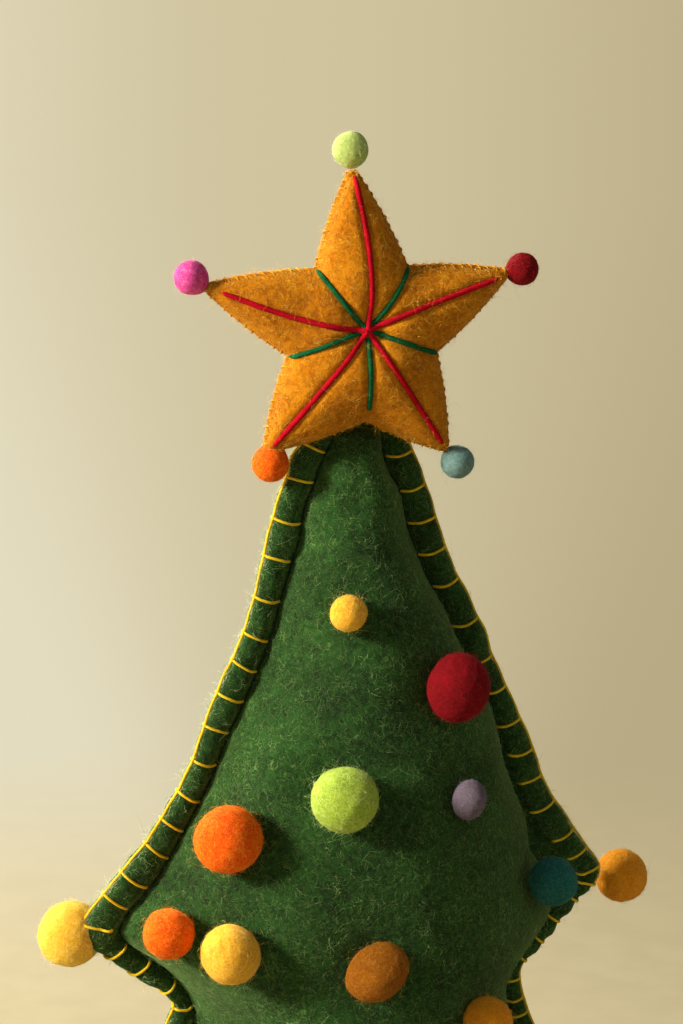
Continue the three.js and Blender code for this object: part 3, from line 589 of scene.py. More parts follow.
# Nearest point of the edge on the same side: distance to it and its place in the list
def nearestEdge(x, z):
    flatX, flatZ = x.ravel(), z.ravel()
    found = np.empty(len(flatX), int)
    for onSide, start, end in ((flatX < 0, 0, edgeSplit), (flatX >= 0, edgeSplit, len(edgeX))):
        places = np.nonzero(onSide)[0]
        for first in range(0, len(places), 6000):
            some = places[first:first + 6000]
            apart = (flatX[some, None] - edgeX[start:end]) ** 2 + (flatZ[some, None] - edgeZ[start:end]) ** 2
            found[some] = start + apart.argmin(1)
    distance = np.hypot(flatX - edgeX[found], flatZ - edgeZ[found])
    return distance.reshape(x.shape), found.reshape(x.shape)


# Left and right ends of the sewn-in part at each height
def seamEnds(z):
    return -np.interp(z, lineZ, seamHalf[-1]), np.interp(z, lineZ, seamHalf[1])


# Seam as straight pieces round the swell; the sides run on below the floor
seamZ = np.linspace(0, b["seamTop"], 90)
seamLeft, seamRight = seamEnds(seamZ)
seamLine = np.vstack([
    [[seamLeft[0], -b["top"]]], np.stack([seamLeft, seamZ], -1),
    np.stack([seamRight, seamZ], -1)[::-1], [[seamRight[0], -b["top"]]],
])


# How far a point is from a line all round it: pi over the integral of one over distance squared
def reachTo(x, z, line):
    total = np.zeros(np.shape(x))
    for (ax, az), (bx, bz) in zip(line[:-1], line[1:]):
        length = math.hypot(bx - ax, bz - az)
        if length < 1e-9:
            continue
        tx, tz = (bx - ax) / length, (bz - az) / length
        along = (ax - x) * tx + (az - z) * tz
        off = np.maximum(np.abs((ax - x) * tz - (az - z) * tx), 1e-6)
        total += (np.arctan2(along + length, off) - np.arctan2(along, off)) / off
    return np.pi / total


# One along the undersides of both tiers, zero along their upper edges, blended over a few millimetres
def undersideShare(z):
    upper = np.clip((z - b["waist"]) / 3, 0, 1) * np.clip((b["tipHigh"] - 3 - z) / 4, 0, 1)
    return upper + np.clip((b["tipLow"] - 3 - z) / 4, 0, 1)


# Places of the blanket stitches in the edge list: sewn places first, then uneven steps down to the foot
def stitchPlaces(side):
    rng = np.random.default_rng(30 + side)
    upper = [(float(side * np.interp(z, lineZ, edgeHalf[side])), z) for z in stitchHeights[side]]
    below = [(side * x, z) for z, x in stitchBelow[side]]
    found = list(nearestEdge(*np.array(upper + below).T)[1])
    first = 0 if side < 0 else edgeSplit
    runs = edgeRun[first:first + len(lineZ)]
    run = edgeRun[found[-1]]
    while True:
        run -= b["stitchPitch"] * rng.uniform(1 - b["pitchSpread"], 1 + b["pitchSpread"])
        if run < runs[0] + 2:
            return found
        found.append(first + int(np.searchsorted(runs, run)))


stitchIndex = {side: stitchPlaces(side) for side in (-1, 1)}
stitchRun = edgeRun[stitchIndex[-1] + stitchIndex[1]]


# How near stitches are, from 0 to 1, at a run along the edge
def nearStitch(run, width):
    return np.exp(-0.5 * ((run[..., None] - stitchRun) / width) ** 2).sum(-1)


# Each ball's diameter and colour; it stands where its node is
frontBalls = {
    "yellow_small": (11.0, "yellow"), "red_large": (19.5, "red"), "lime_large": (19.5, "lime"),
    "lavender_small": (11.0, "lavender"), "orange_large": (19.5, "orange"), "orange_medium": (15.0, "orange"),
    "yellow_plump": (17.0, "yellow"), "mustard_plump": (17.0, "mustard"), "teal_medium": (15.0, "teal"),
    "mustard_medium": (15.0, "mustard"), "red_low": (19.5, "red"), "lime_low": (17.0, "lime"),
    "pink_low": (15.0, "pink"), "teal_low": (15.0, "teal"), "orange_low": (17.0, "orange"),
}
backBalls = {
    "red_small": (11.0, "red"), "yellow_large": (19.5, "yellow"), "teal_large": (19.5, "teal"),
    "orange_small": (11.0, "orange"), "lime_medium": (15.0, "lime"), "pink_medium": (15.0, "pink"),
    "red_medium": (15.0, "red"), "mustard_large": (19.5, "mustard"), "lavender_medium": (15.0, "lavender"),
}
bothSides = (("front", -1, frontBalls), ("back", 1, backBalls))


# Middle of a node's box in millimetres: half the sum of its two corners
def boxCentre(node):
    low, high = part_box(node)
    return (np.array(low) + np.array(high)) / 2 / metre


spots = {
    face: np.array([[*boxCentre(f"ball_{label}_{name}")[[0, 2]], size / 2] for name, (size, _) in balls.items()])
    for label, face, balls in bothSides
}


# Height of the stuffed swell over the seam's plane: root of room times (edge depth + share of the middle's room).
# The tier tips hold little filling, so the height near the seam is cut by a share that falls off with the room
def swellHeight(x, z):
    left, right = seamEnds(z)
    inside = (x > left) & (x < right) & (z < b["seamTop"])
    room = np.where(inside, reachTo(x, z, seamLine), 0.0)
    middle = reachTo((left + right) / 2, np.minimum(z, b["seamTop"] - 0.01), seamLine)
    tips = sum(np.exp(-(((z - tip) / b["finSpread"]) ** 2)) for tip in (b["tipHigh"] - 4, b["tipLow"]))
    slack = b["finSlack"] * (b["sideSlack"] + (1 - b["sideSlack"]) * np.minimum(tips, 1))
    slack = slack * np.exp(-room / b["finReach"])
    return np.sqrt(room * (b["swellDepth"] + b["plumpShare"] * middle)) * (1 - slack), room


# Cloth simulation of the stuffed part: sewn down at the seams, the foot, the crown and each ball
simSetup = {
    "rows": 66, "columns": 36, "top": 297.0, "scale": 0.01, "frames": 20, "cap": 3.5, "easing": 2,
    "cloth": {
        "vertex_group_mass": "sewn", "quality": 6, "mass": 0.15, "tension_stiffness": 18, "compression_stiffness": 12,
        "shear_stiffness": 8, "bending_stiffness": 2.0, "shrink_min": -0.03, "use_pressure": True,
        "uniform_pressure_force": 5.0,
    },
}


# Moves of the grid's points: where the cloth ends less where it starts, capped and eased
def puffed():
    c = simSetup
    z = np.linspace(0, c["top"], c["rows"])
    angle = np.linspace(-np.pi / 2, np.pi / 2, c["columns"] + 1)
    left, right = seamEnds(z)
    x = ((left + right) / 2)[:, None] + ((right - left) / 2)[:, None] * np.sin(angle) * 0.9999
    gridZ = np.repeat(z[:, None], len(angle), 1)
    swell, _ = swellHeight(x, gridZ)
    swell[:, [0, -1]] = 0
    rings = np.concatenate([np.stack([x, -swell, gridZ], -1), np.stack([x, swell, gridZ], -1)[:, -2:0:-1]], 1)
    points, faces = ringSolid(rings)
    sides = rings.shape[1]
    held = np.zeros((len(z), sides))
    held[:, [0, c["columns"]]] = 1
    held[[0, -1]] = 1
    for face, columns in ((-1, slice(0, c["columns"] + 1)), (1, slice(c["columns"], sides))):
        for bx, bz, radius in spots[face]:
            away = np.hypot(rings[:, columns, 0] - bx, rings[:, columns, 2] - bz)
            close = away < max(radius * 0.45, away.min() + 0.1)
            held[:, columns] = np.maximum(held[:, columns], close)
    mesh = bpy.data.meshes.new("puffMesh")
    mesh.from_pydata((points * c["scale"]).tolist(), [], [f for block in faces for f in block.tolist()])
    puff = linked("puff", mesh)
    weights = np.r_[held.ravel(), 1, 1]
    puff.vertex_groups.new(name="sewn").add(np.nonzero(weights > 0.5)[0].tolist(), 1.0, "REPLACE")
    cloth = puff.modifiers.new("cloth", "CLOTH")
    for key, value in c["cloth"].items():
        setattr(cloth.settings, key, value)
    cloth.settings.effector_weights.gravity = 0
    cloth.point_cache.frame_start, cloth.point_cache.frame_end = 1, c["frames"]
    scene = bpy.context.scene
    for number in range(1, c["frames"] + 1):
        scene.frame_set(number)
    after = np.empty(len(points) * 3, np.float32)
    puff.evaluated_get(bpy.context.evaluated_depsgraph_get()).data.vertices.foreach_get("co", after)
    moved = after.reshape(-1, 3) / c["scale"] - points
    scene.frame_set(1)
    bpy.data.objects.remove(puff)
    bpy.data.meshes.remove(mesh)
    size = np.linalg.norm(moved, axis=1, keepdims=True)
    moved *= np.minimum(1, c["cap"] / np.maximum(size, 1e-6))
    print("cloth moved the felt by", np.percentile(size, [50, 90, 100]).round(2), "mm")
    moved = moved[:-2].reshape(len(z), sides, 3)
    for _ in range(c["easing"]):
        moved[1:-1] = (moved[:-2] + 2 * moved[1:-1] + moved[2:]) / 4
        moved = (np.roll(moved, 1, 1) + 2 * moved + np.roll(moved, -1, 1)) / 4
        moved[:, [0, c["columns"]]] = 0
    backMove = np.concatenate([moved[:, c["columns"]:], moved[:, :1]], 1)[:, ::-1]
    return {-1: moved[:, : c["columns"] + 1], 1: backMove}


puffMoves = puffed()


# Whole steps and a softened remainder of places on a grid
def gridStep(at, count):
    at = np.clip(at * count, 0, count - 0.001)
    whole = at.astype(int)
    part = (at - whole)[..., None]
    return whole, (part + part * part * (3 - 2 * part)) / 2


# Values on the simulation's grid, blended smoothly to other heights and angles
def puffMove(face, z, angle):
    if puffMoves is None:
        return np.zeros((*z.shape, 3))
    grid = puffMoves[face]
    i, up = gridStep(z / simSetup["top"], grid.shape[0] - 1)
    j, over = gridStep((angle + np.pi / 2) / np.pi, grid.shape[1] - 1)
    low = grid[i, j] * (1 - over) + grid[i, j + 1] * over
    high = grid[i + 1, j] * (1 - over) + grid[i + 1, j + 1] * over
    return low * (1 - up) + high * up


# The panel's rolled edge: angle of the roll at a distance in from the joint, how far out it stands and its height.
# Outer part: bulge - (bulge + round)(1 - cos); recessed part: radius (cos - cos at the joint)
def edgeRoll(distance, height, bulge):
    start = math.radians(b["rollStart"])
    angle = start + (math.pi / 2 - start) * np.clip(distance / b["edgeRound"], 0, 1)
    recess = bulge / (1 - math.cos(start)) * (np.cos(angle) - math.cos(start))
    out = np.where(angle < 0, recess, bulge - (bulge + b["edgeRound"]) * (1 - np.cos(angle)))
    middle = b["rollShare"] * height
    low = middle + (middle - b["gap"] / 2) / math.sin(-start) * np.sin(angle)
    rise = np.where(angle < 0, low, middle + (height - middle) * np.sin(angle))
    return angle, out, rise


# How far a stitch pulls the edge in: most below the waist, and more on the right underside than on the left one
def stitchPull(x, z):
    under = np.where(x > 0, b["undersideScallop"], 0.4 * b["undersideScallop"])
    parts = [(z > b["waist"]) & (z < b["tipHigh"] - 2), z < b["waist"] - 20]
    return np.select(parts, [under, b["lowScallop"]], b["scallop"])


# A point of the flat cut felt, moved to its place on the finished panel; the lining keeps clear of the rolled edge
def shapeFelt(x, z, face, lining=False):
    x, z = np.asarray(x, float), np.asarray(z, float)
    left, right = seamEnds(z)
    distance, index = nearestEdge(x, z)
    run, out = edgeRun[index], edgeOut[index]
    swell, room = swellHeight(x, z)
    inside = room > 0
    pinch, legs = nearStitch(run, b["pinchWidth"]), nearStitch(run, b["legWidth"])
    place = np.stack([x, np.full_like(x, face * 20.0), z], -1)

    # Border: a soft roll that rises from the edge and falls into the seam's groove
    beyond = np.maximum(left - x, x - right)
    beyond = np.maximum(np.where(z < b["seamTop"], beyond, np.maximum(beyond, z - b["seamTop"])), 0)
    beyond = np.minimum(beyond, np.maximum(b["border"] - distance, beyond * b["leastRise"]))
    seamRise = 1 - np.exp(-((beyond / b["grooveWidth"]) ** 2))
    legWindow = np.clip((b["legEnd"] - distance) / b["legFade"], 0, 1) * np.clip(distance / b["edgeRound"], 0, 1)
    height = b["borderHeight"] * (1 + uneven("border", place)) * (1 - b["legDent"] * legs * legWindow)
    bulge = b["frontBulge"] if face < 0 else b["backBulge"]
    bulge = bulge * (1 + uneven("bulge", place)) * np.clip(1 - 0.5 * pinch, 0.3, 1)
    _, rolled, rise = edgeRoll(distance, height, bulge)
    groove = b["grooveHeight"]
    border = rise * (groove / height + (1 - groove / height) * seamRise)

    # Swell: stuffed height, lumps of the filling, puckers at the seam and a dimple under each ball
    firm = 1 - np.exp(-room / b["firmRoom"])
    lumps = uneven("lumps", place) + uneven("smallLumps", place)
    ripple = np.cos(2 * np.pi * run / b["puckerPitch"] + uneven("ripple", place))
    pucker = b["puckerDepth"] * np.exp(-room / b["puckerRoom"]) * ripple * (0.6 + uneven("pucker", place))
    dimple = np.zeros_like(x)
    for bx, bz, radius in spots[face]:
        dimple += b["ballDimple"] * np.exp(-(((x - bx) ** 2 + (z - bz) ** 2) / (b["dimpleSpread"] * radius) ** 2))
    soft = (lumps * np.clip(z / b["softFoot"], 0, 1) - dimple) * (1 - np.exp(-room / b["softRoom"]))
    middle = groove + swell + (b["felt"] + b["gap"] / 2 - groove) * firm + soft + pucker * firm
    depth = np.where(inside, middle, border)

    # In the plane: stitches pull the edge in, and the cloth simulation moves the swell
    near = np.clip(1 - distance / b["pullReach"], 0, 1) ** 2
    inward = stitchPull(x, z) * pinch * near * np.clip(z / b["pullFoot"], 0, 1)
    shift = -inward if lining else np.where(distance < b["edgeRound"], rolled + distance, 0) - inward
    angle = np.arcsin(np.clip((2 * x - left - right) / (right - left), -1, 1))
    move = puffMove(face, z, angle) * (inside * np.clip(z / b["moveFoot"], 0, 1))[..., None]
    if lining:
        depth = np.maximum(depth - b["felt"], b["gap"] / 2)
    newX = x + out[..., 0] * shift + move[..., 0]
    newZ = np.clip(z + out[..., 1] * shift + move[..., 2], 0, b["top"] + b["frontBulge"])
    return np.stack([newX, face * depth + move[..., 1], newZ], -1)


feltGrid = {"rows": (18, 64, 26, 92, 22), "across": 98, "border": 24}


# Rows closer together towards the crown's edge; columns closer together towards the side edges
def feltPlan():
    corners = [0.0, b["tipLow"], b["waist"], b["tipHigh"], b["shoulder"], b["top"]]
    shares = [np.linspace(0, 1, n + 1)[:-1] for n in feltGrid["rows"]]
    shares[-1] = 1 - (1 - shares[-1]) ** 1.6
    z = np.concatenate([low + (high - low) * s for low, high, s in zip(corners, corners[1:], shares)] + [[b["top"]]])
    left, right = seamEnds(z)
    share = 1 - (1 - np.linspace(0, 1, feltGrid["border"] + 1)[1:]) ** 1.35
    bands = []
    for side, seam in ((-1, left), (1, right)):
        edge = side * np.interp(z, lineZ, edgeHalf[side])
        bands.append(seam[:, None] + (edge - seam)[:, None] * share)
    across = np.sin(np.linspace(-np.pi / 2, np.pi / 2, feltGrid["across"] + 1))
    middle = ((left + right) / 2)[:, None] + ((right - left) / 2)[:, None] * across
    x = np.concatenate([bands[0][:, ::-1], middle, bands[1]], 1)
    return x, np.repeat(z[:, None], x.shape[1], 1)


planX, planZ = feltPlan()
feltSkins = {}
for label, face, _ in bothSides:
    feltSkins[face] = shapeFelt(planX, planZ, face)
    solid = sheetSolid(feltSkins[face], shapeFelt(planX, planZ, face, True))
    addPiece(label + "_felt", [solid], greenFelt, "body_felt", label + "_panel")
print("felt panels made")


stitchYarn = {
    "radius": 0.44, "edgeRadius": 0.47, "edgeDepth": 1.3, "edgeStands": 1.25, "underStands": 0.3, "step": 0.45,
    "levelUnder": 0.45, "levelTips": 0.6, "levelRight": 0.4, "tipSpread": 7, "tipLift": 1.4, "offSeam": 0.4,
    "reachSpread": 0.5, "leanSpread": 0.08, "bow": (0.2, 1.1), "waveDepth": 0.35, "waveSize": 14.0,
}
yarnTwist = {"plies": 3, "twistPitch": 2.6, "plyDepth": 0.12}


# One leg goes in on the front short of the seam, over the rolled edge and in on the back. It is square to the
# edge, but nearer to level at the tips, on the undersides and on the right
def stitchLeg(index, rng):
    y, out, z = stitchYarn, edgeOut[index], edgeZ[index]
    tips = sum(math.exp(-(((z - tip) / y["tipSpread"]) ** 2)) for tip in (b["tipHigh"], b["tipLow"]))
    onRight = y["levelRight"] if edgeX[index] > 0 else 0
    level = max(y["levelUnder"] * float(undersideShare(z)), y["levelTips"] * tips, onRight)
    out = unit(out * (1 - level) + np.array([np.sign(edgeX[index]), 0]) * level)
    tangent = np.array([-out[1], out[0]]) * np.sign(edgeX[index])
    trial = np.arange(3.0, 13.0, 0.2)
    left, right = seamEnds(z - out[1] * trial)
    across = edgeX[index] - out[0] * trial
    sewn = (across > left) & (across < right)
    width = trial[sewn.argmax()] if sewn.any() else trial[-1]
    reach = min(b["stitchReach"] + rng.normal(0, y["reachSpread"]), width - y["offSeam"])
    lean, bow = rng.normal(0, y["leanSpread"]), rng.uniform(*y["bow"])
    depth = np.r_[np.linspace(reach, b["edgeRound"], 13), b["edgeRound"] * np.array([0.85, 0.7, 0.55, 0.4])]
    share = depth / reach
    along = lean * depth - bow * np.sin(np.pi * share)
    legX = edgeX[index] - out[0] * depth + tangent[0] * along
    legZ = np.clip(edgeZ[index] - out[1] * depth + tangent[1] * along, 0.9, b["top"])
    angle = edgeRoll(depth, 1.0, 1.0)[0]
    lift = (y["radius"] * (0.95 + y["tipLift"] * tips) * np.where(share < 0.97, 1.0, -1.6))[:, None]
    halves = []
    for face in (-1, 1):
        outward = np.stack([out[0] * np.cos(angle), face * np.sin(angle), out[1] * np.cos(angle)], -1)
        halves.append(shapeFelt(legX, legZ, face) + lift * outward)
    outer = b["frontBulge"] + 0.3
    middle = [[edgeX[index] + out[0] * outer, -0.7, edgeZ[index] + out[1] * outer]]
    path = evenPath(eased(np.vstack([halves[0], middle, halves[1][::-1]]), 2), y["step"])
    path[:, 2] = np.maximum(path[:, 2], y["radius"])
    taper = np.interp(np.linspace(0, 1, len(path)), [0, 0.05, 0.95, 1], [0.55, 1, 1, 0.55])
    reference = (tangent[0], 0, tangent[1])
    return cordSolid(path, y["radius"] * taper, reference, 9, phase=rng.uniform(0, 6), **yarnTwist)


# The yarn along the edge lies on the front roll and dips in at each stitch; on the undersides it sinks into the joint
def edgeYarn(side):
    y = stitchYarn
    places = np.arange(0, edgeSplit) if side < 0 else np.arange(edgeSplit, len(edgeX))
    offCrown = (np.abs(edgeX[places]) > 3.6) | (edgeZ[places] < b["top"] - 0.1)
    places = places[(edgeZ[places] >= 0.8) & offCrown][::2]
    x, z, (outX, outZ) = edgeX[places], edgeZ[places], edgeOut[places].T
    under = undersideShare(z)
    dip = (stitchPull(x, z) + 0.1) * nearStitch(edgeRun[places], b["pinchWidth"])
    off = eased((y["edgeStands"] - dip) * (1 - under) + under * y["underStands"], 3)
    wave = y["waveDepth"] * softNoise(np.stack([x, 0 * z, z], -1), y["waveSize"], 31 + side)
    path = np.stack([x + outX * off, wave - y["edgeDepth"] * (1 - under), z + outZ * off], -1)
    path[:, 2] = np.maximum(path[:, 2], y["edgeRadius"])
    return cordSolid(evenPath(eased(path, 2), 0.5), y["edgeRadius"], (0, 1, 0), 10, **yarnTwist)


for name, side in (("left", -1), ("right", 1)):
    rng = np.random.default_rng(40 + side)
    parts = [edgeYarn(side)] + [stitchLeg(index, rng) for index in stitchIndex[side]]
    addPiece("blanket_yarn_" + name, parts, yellowYarn, "yarn_yellow", "blanket_stitch_" + name)
print("blanket stitch made")


seamStitch = {"radius": 0.32, "pitch": 4.2, "stands": 0.1, "depth": 0.35, "offSeam": 0.25}


# Running stitches half sunk in the groove between the border and the swell
def seamThread(side, face):
    s = seamStitch
    z = np.arange(3.0, b["seamTop"] - 3, 0.7)
    path = shapeFelt(seamEnds(z)[side > 0] + side * s["offSeam"], z, face)
    path[:, 1] += face * (s["stands"] + s["depth"] * np.cos(2 * np.pi * runAlong(path) / s["pitch"]))
    return cordSolid(evenPath(path, 0.6), s["radius"], (0, 1, 0), 6, plies=2, twistPitch=1.6, plyDepth=0.2)


for label, face, _ in bothSides:
    for sideName, side in (("left", -1), ("right", 1)):
        place, thread = f"{label}_{sideName}", seamThread(side, face)
        addPiece("groove_thread_" + place, [thread], greenThread, "thread_green", "seam_thread_" + place)


# Outline of the hollow at a height: the linings' distance from the middle, drawn in by a margin
def hollowRing(z, margin, sides):
    angle = roundTurn(sides)
    left, right = seamEnds(float(z))
    x = (left + right) / 2 + ((right - left) / 2 - b["felt"] - margin) * np.cos(angle)
    height = np.full(sides, float(z))
    front, back = (np.abs(shapeFelt(x, height, face)[:, 1]) - b["felt"] - margin for face in (-1, 1))
    y = np.where(np.sin(angle) < 0, -np.maximum(front, 0.3), np.maximum(back, 0.3)) * np.abs(np.sin(angle)) ** 0.35
    return np.stack([x, y, height], -1)


# The felt base: a flat cut piece with soft edges, pushed up a little in its middle
def baseFelt():
    flat = hollowRing(1.5, 0.3, 120) * [1, 1, 0]
    profile = [
        (0.15, 0.5), (0.45, 0.3), (0.75, 0.12), (0.93, 0.0), (0.985, 0.25), (1.0, 1.5),
        (0.985, 2.75), (0.93, 3.0), (0.75, 3.1), (0.45, 3.3), (0.15, 3.5),
    ]
    rings = np.stack([flat * share + [0, 0, z] for share, z in profile])
    return ringSolid(rings, np.array([0, 0, 0.55]), np.array([0, 0, 3.55]))


# Filling: the hollow's outline from the bag up to the crown, lumpy like pulled wool
def filling():
    rings = np.stack([hollowRing(z, 1.0, 64) for z in np.linspace(36.0, 290.0, 60)])
    rings[..., 1] += uneven("filling", rings) * (np.abs(rings[..., 1]) > 3) * -np.sign(rings[..., 1])
    return ringSolid(rings)


# Weight bag: a low pouch whose cloth is gathered into its neck
def pouch():
    base = hollowRing(6.0, 3.5, 96) * [1, 1, 0]
    angle = np.arctan2(base[:, 1], base[:, 0])
    profile = [(0.5, 5.3), (0.8, 5.3), (0.96, 8.2), (1.0, 15.5), (0.96, 25.0), (0.78, 29.3), (0.5, 30.6), (0.3, 31.0)]
    gather = (1 + 0.05 * np.cos(18 * angle))[:, None]
    rings = [base * share * (gather if z > 24 else 1) + [0, 0, z] for share, z in profile]
    neck = 9.0 * (1 + 0.12 * np.cos(14 * angle))
    rings.append(np.stack([neck * np.cos(angle), neck * np.sin(angle), np.full(len(angle), 31.4)], -1))
    inner = [base * share * 0.975 + [0, 0, min(max(z, 6.2), 29.6)] for share, z in profile[-2::-1]]
    return ringSolid(np.stack(rings + [rings[-1] * [0.8, 0.8, 1] - [0, 0, 0.1]] + inner))


addPiece("base_felt", [baseFelt()], greenFelt, "body_felt", "base_panel")
addPiece("wool_filling", [filling()], whiteFilling, "filling", "body_stuffing")
addPiece("pellet_bag", [pouch()], bagCotton, "bag_cloth", "weight_bag")
for node, material in (("base_board", greyBoard), ("weight_pellets", roundPellets)):
    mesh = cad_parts[node].data
    mesh.materials.clear()
    mesh.materials.append(material)
print("seams, base and filling made")


ballShape = {
    "around": 72, "rings": 36, "lumpShare": 0.045, "fineShare": 0.016, "inset": 1.2, "slabHalf": 3.0,
    "usualRadius": 9.75, "fibres": 900, "fewest": 60, "bareFrom": 0.75, "fibreRadius": 0.026,
    "fibreLength": 2.0, "fibreCurl": 1.9, "fibreLift": 0.38,
    "hairs": 20, "hairLength": 4.8, "hairCurl": 3.6, "hairLift": 0.5, "hairJoints": 9,
}


# Distance from inside a ball along each ray to the felt's edge: the first step that lies in a slab inside the outline
def feltEntry(centre, rays, radius):
    steps = np.linspace(0.5, 1.15 * radius, 70)
    spot = centre + rays[..., None, :] * steps[:, None]
    half = np.interp(spot[..., 2], lineZ, edgeHalf[-1 if centre[0] < 0 else 1]) - ballShape["inset"]
    within = (np.abs(spot[..., 0]) < half) & (np.abs(spot[..., 1]) < ballShape["slabHalf"])
    return np.where(within.any(-1), steps[within.argmax(-1)], 1e6)


# A slightly uneven sphere: radius times (1 + lumps), drawn out or dented where it is sewn on, with fine loose fibres.
# The stretch divides each ray by the length of the turned ray over the three shares
def woolBall(
    name, node, centre, radius, colour, tone, toward, seed, reachOut=0.0, dented=False, stretch=(1, 1, 1), lean=0.0,
):
    s = ballShape
    rng = np.random.default_rng(seed)
    theta, phi = np.pi * (np.arange(1, s["rings"]) / s["rings"])[:, None], roundTurn(s["around"])
    rays = np.broadcast_arrays(np.sin(theta) * np.cos(phi), np.sin(theta) * np.sin(phi), np.cos(theta))
    poles = np.array([[0, 0, 1.0], [0, 0, -1.0]])
    turned = np.array(Matrix.Rotation(math.radians(-lean), 3, "Y"))

    def placed(direction):
        lumps = s["lumpShare"] * softNoise(direction * 2.1 + seed, 1.6, 7)
        lumps += s["fineShare"] * softNoise(direction * 9 + seed, 1.5, 9)
        size = radius * (1 + lumps) + reachOut * np.clip((direction * toward).sum(-1), 0, 1) ** 6
        size = size / np.sqrt(((direction @ turned / np.array(stretch)) ** 2).sum(-1))
        if dented:
            size = np.minimum(size, feltEntry(centre, direction, radius))
        return centre + direction * size[..., None]

    ball = ringSolid(placed(np.stack(rays, -1)), placed(poles[:1])[0], placed(poles[1:])[0])
    count = int(s["fibres"] * (radius / s["usualRadius"]) ** 2) + s["fewest"]
    direction = unit(rng.normal(size=(count, 3)))
    direction = direction[(direction * toward).sum(-1) < s["bareFrom"]]
    length = rng.gamma(4, s["fibreLength"] / 4, len(direction)) * min(1, 0.5 + radius / 20)
    thick = rng.uniform(0.7, 1.4, len(direction)) * s["fibreRadius"]
    fibres = fibreSolid(placed(direction), direction, length, thick, s["fibreCurl"], s["fibreLift"], rng)
    few = direction[: s["hairs"]]
    hairLength = rng.gamma(3, s["hairLength"] / 3, len(few)) * min(1, 0.3 + radius / 14)
    hairLooks = (s["fibreRadius"], s["hairCurl"], s["hairLift"])
    hairs = fibreSolid(placed(few), few, hairLength, *hairLooks, rng, s["hairJoints"])
    addPiece(name, [ball], ballMaterials[tone], "ball_" + colour, node)
    addPiece(name + "_fuzz", [fibres, hairs], ballFuzz[tone], "ball_" + colour)


# The photo's point of view: distance and target in millimetres, angles in degrees
view = {
    "distance": 620.0, "azimuth": -19.27, "elevation": 8.82, "roll": 0.77, "target": (-6.02, 0.0, 275.48),
    "lens": 72.78,
}
azimuth, elevation, roll = (math.radians(view[k]) for k in ("azimuth", "elevation", "roll"))
backward = np.array([math.sin(azimuth), -math.cos(azimuth), math.tan(elevation)]) * math.cos(elevation)
eye = np.array(view["target"]) + backward * view["distance"]

# Balls that aren't quite round: stretch along x, y and z, then how far they lean to the left, in degrees
ballStretch = {
    "red_large": (0.95, 1.0, 1.06, -8), "lavender_small": (0.88, 1.0, 1.08, -18), "lime_large": (1.02, 1.0, 0.97, 10),
    "mustard_plump": (1.15, 1.0, 0.88, 33), "orange_medium": (1.0, 1.0, 0.97, 10),
}
seating = {"sink": 0.7, "deepest": 5.0, "proudest": 1.0, "drawn": 0.8, "rings": (0.25, 0.5, 0.7, 0.85)}
circle = np.stack([np.cos(roundTurn(16)), np.sin(roundTurn(16))], -1)
spread = np.vstack([[[0, 0]]] + [circle * share for share in seating["rings"]])
for label, face, balls in bothSides:
    for order, (name, (size, colour)) in enumerate(balls.items()):
        node = f"ball_{label}_{name}"
        centre, radius = boxCentre(node), size / 2
        # Pushed in until it sinks a little into the felt that is really there
        underX, underZ = (centre[[0, 2]] + spread * radius).T
        surface = np.abs(shapeFelt(underX, underZ, face)[:, 1])
        seat = (surface + radius * np.sqrt(1 - (spread ** 2).sum(-1))).max() - seating["sink"]
        depth = np.clip(seat, abs(centre[1]) - seating["deepest"], abs(centre[1]) + seating["proudest"])
        moved, drawn = face * depth - centre[1], seating["drawn"] + max(0.0, depth - seat)
        # On the front a ball slides along the photo's line of sight, so that it stays on its place
        sight = centre - eye if face < 0 else np.array([0, 1.0, 0])
        centre += sight * moved / sight[1]
        toward, seed = np.array([0, -face, 0.0]), 100 + order + 50 * (face > 0)
        # The medium mustard ball takes the lighter copy of the mustard wool: painted light on a ball that catches it
        tone = "lit_mustard" if name == "mustard_medium" else colour
        *stretch, lean = ballStretch.get(name, (1, 1, 1, 0))
        looks = (colour, tone, toward, seed, drawn, False, stretch, lean)
        woolBall(f"wool_{label}_{name}", node, centre, radius, *looks)

# Side, height of the tip, how far out it is, diameter, then shares of the radius outwards, back and down
tipBalls = {
    "upper_left": (-1, b["tipHigh"], b["upperTipHalf"], 19.5, 0.2, 0.5, 0.35, "yellow", "lemon"),
    # The upper right ball takes the lighter copy of the mustard wool: painted light
    "upper_right": (1, b["tipHigh"], b["upperTipHalf"] + 1.6, 17.0, 0.6, 0.25, 0.25, "mustard", "lit_mustard"),
    "lower_left": (-1, b["tipLow"], b["lowerTipHalf"], 17.0, 0.5, 0.3, 0.2, "red", "red"),
    "lower_right": (1, b["tipLow"], b["lowerTipHalf"], 17.0, 0.5, 0.3, 0.2, "lime", "lime"),
}
for order, (name, (side, z, out, size, outShare, backShare, downShare, colour, tone)) in enumerate(tipBalls.items()):
    radius = size / 2
    centre = np.array([side * (out + radius * outShare), radius * backShare, z - radius * downShare])
    toward = np.array([-side, 0, 0.0])
    woolBall("wool_tip_" + name, "ball_tip_" + name, centre, radius, colour, tone, toward, 200 + order, dented=True)
print("wool balls made")


